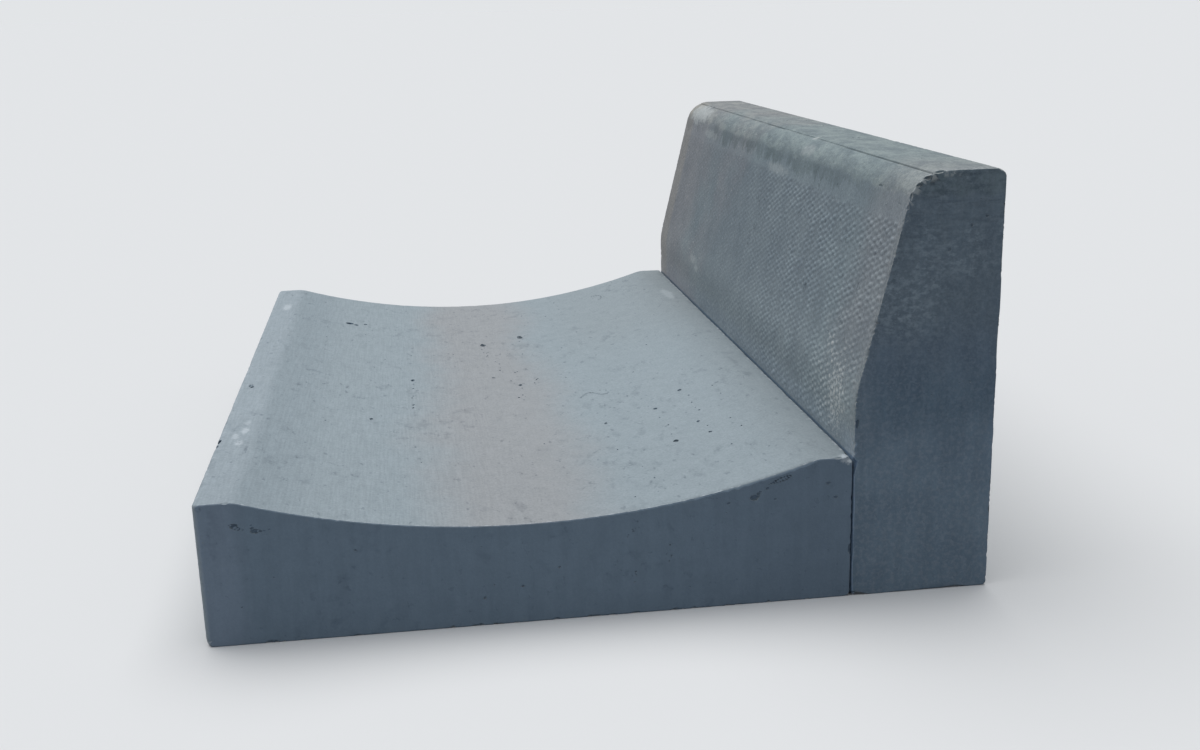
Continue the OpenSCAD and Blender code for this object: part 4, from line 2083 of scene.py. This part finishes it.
@dataclass(frozen=True)
class Studio:
    """The floor, the light and the camera."""

    floor_half: float = 300.0
    floor_seen: Triple = (0.74, 0.74, 0.74)
    floor_bounce: Triple = (0.30, 0.31, 0.32)
    backdrop: Triple = (0.763, 0.782, 0.8005)
    sky: Triple = (0.88, 0.96, 1.05)
    sky_strength: float = 0.3
    key_strength: float = 2.55
    key_from: Triple = (-0.12, 0.30, 0.95)
    key_spread: float = math.radians(70)
    camera_place: Triple = (-0.1631, -1.7076, 0.5474)
    camera_turn: Triple = (74.035, 1.468, -7.94)
    lens: float = 42.44
    shift_up: float = 0.0298

    def build(self) -> None:
        """Makes the floor, the light and the camera."""
        self.floor()
        self.light()
        self.camera()

    def seen(self, g: Graph) -> Socket:
        """Tells rays that show the background from rays that light the stones.

        Args:
            g: The nodes of a material or the world.

        Returns:
            1 for a ray that shows the background and 0 for any other.
        """
        path = g.node("ShaderNodeLightPath").outputs
        shown = g.math("MAXIMUM", path["Is Camera Ray"], path["Is Glossy Ray"])
        return g.math("MAXIMUM", shown, path["Is Transmission Ray"])

    def floor(self) -> None:
        """Lays a plain pale floor that throws back little light."""
        h = self.floor_half
        mesh = bpy.data.meshes.new("floor")
        mesh.from_pydata([(-h, -h, 0), (h, -h, 0), (h, h, 0), (-h, h, 0)], [], [(0, 1, 2, 3)])
        material = bpy.data.materials.new("floor")
        material.use_nodes = True
        g = Graph(material.node_tree)
        shader = material.node_tree.nodes["Principled BSDF"]
        colour = g.mix(self.seen(g), (*self.floor_bounce, 1.0), (*self.floor_seen, 1.0))
        g.feed(shader.inputs["Base Color"], colour)
        shader.inputs["Roughness"].default_value = 0.95
        shader.inputs["Specular IOR Level"].default_value = 0.0
        mesh.materials.append(material)
        linked("floor", mesh)

    def light(self) -> None:
        """Lights the stones softly from above, a little from behind and from the road."""
        lamp = bpy.data.lights.new("key", "SUN")
        lamp.energy = self.key_strength
        lamp.angle = self.key_spread
        key = bpy.data.objects.new("key", lamp)
        key.rotation_euler = Vector(self.key_from).to_track_quat("Z", "Y").to_euler()
        bpy.context.scene.collection.objects.link(key)
        world = bpy.data.worlds.new("sky")
        world.use_nodes = True
        g = Graph(world.node_tree)
        lit = (*(c * self.sky_strength for c in self.sky), 1.0)
        colour = g.mix(self.seen(g), lit, (*self.backdrop, 1.0))
        g.feed(world.node_tree.nodes["Background"].inputs["Color"], colour)
        bpy.context.scene.world = world

    def camera(self) -> None:
        """Sets the camera at the photograph's angle."""
        data = bpy.data.cameras.new("camera")
        data.lens = self.lens
        data.shift_y = self.shift_up
        camera = bpy.data.objects.new("camera", data)
        camera.location = self.camera_place
        camera.rotation_euler = [math.radians(a) for a in self.camera_turn]
        bpy.context.scene.collection.objects.link(camera)
        bpy.context.scene.camera = camera


def kerb_finish() -> KerbFinish:
    """Returns the kerb stone's finish."""
    return KerbFinish(
        name="kerb_concrete",
        dark=(0.208, 0.253, 0.281),
        light=(0.250, 0.300, 0.325),
        # The ends darker and bluer: their own tone with painted shade and sky light.
        end_tone_and_shade=(0.58, 0.71, 0.82),
        pale=(0.50, 0.53, 0.53),
        sand_share=0.2,
        speck_share=0.25,
        spots=(
            Spot((0.285, 0.425, 0.388), (0.024, 0.075, 0.020), 0.7),
            Spot((0.299, -0.134, 0.398), (0.005, 0.009, 0.006), 0.6),
            Spot((0.284, -0.156, 0.387), (0.012, 0.030, 0.010), 0.3),
            Spot((0.276, 0.320, 0.366), (0.020, 0.055, 0.008), 0.3),
            Spot((0.274, -0.060, 0.357), (0.020, 0.060, 0.008), 0.3, 140.0, 2.0),
            Spot((0.233, 0.248, 0.198), (0.03, 0.030, 0.008), 0.4),
            Spot((0.233, 0.225, 0.190), (0.03, 0.016, 0.006), 0.4),
        ),
    )


def channel_finish() -> ChannelFinish:
    """Returns the channel stone's finish."""
    pale_marks = (
        Spot((-0.343, -0.273, 0.136), (0.005, 0.014, 0.02), 0.42, 240.0, 1.8),
        Spot((-0.343, -0.245, 0.136), (0.005, 0.012, 0.02), 0.25, 240.0, 1.8),
        Spot((-0.351, -0.292, 0.136), (0.005, 0.014, 0.02), 0.36, 240.0, 1.8),
        Spot((-0.345, -0.316, 0.136), (0.006, 0.013, 0.02), 0.42, 240.0, 1.8),
        Spot((-0.346, 0.367, 0.136), (0.008, 0.030, 0.02), 0.42, 340.0, 2.0),
        Spot((0.207, 0.300, 0.139), (0.010, 0.050, 0.02), 0.22),
        Spot((0.228, -0.497, 0.138), (0.010, 0.010, 0.008), 0.6, 260.0, 2.4),
    )
    return ChannelFinish(
        name="channel_concrete",
        dark=(0.283, 0.333, 0.362),
        light=(0.305, 0.356, 0.386),
        # The ends darker and bluer: their own tone with painted shade and sky light.
        end_tone_and_shade=(0.71, 0.80, 0.93),
        pale=(0.60, 0.65, 0.69),
        mottle_scale=60.0,
        scuff_share=0.45,
        smudge_share=0.35,
        end_streak=0.03,
        spots=pale_marks,
    )


def main() -> None:
    """Builds both stones, their finishes and the studio."""
    logging.basicConfig(level=logging.INFO, format="%(name)s: %(message)s")
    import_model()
    bpy.context.scene.view_settings.view_transform = "Standard"
    casting, cutting, kit = CastingTree(), HollowsTree(), ShaderKit()
    stones: list[tuple[CastStone, ConcreteFinish]] = [
        (KerbStone("kerb_stone", "kerb_concrete", seed=11, stations=331), kerb_finish()),
        (ChannelStone("channel_stone", "channel_concrete", seed=23, stations=161), channel_finish()),
    ]
    for stone, finish in stones:
        stone.build(casting, cutting, finish.material(kit))
    Studio().build()


if __name__ == "__main__":
    main()
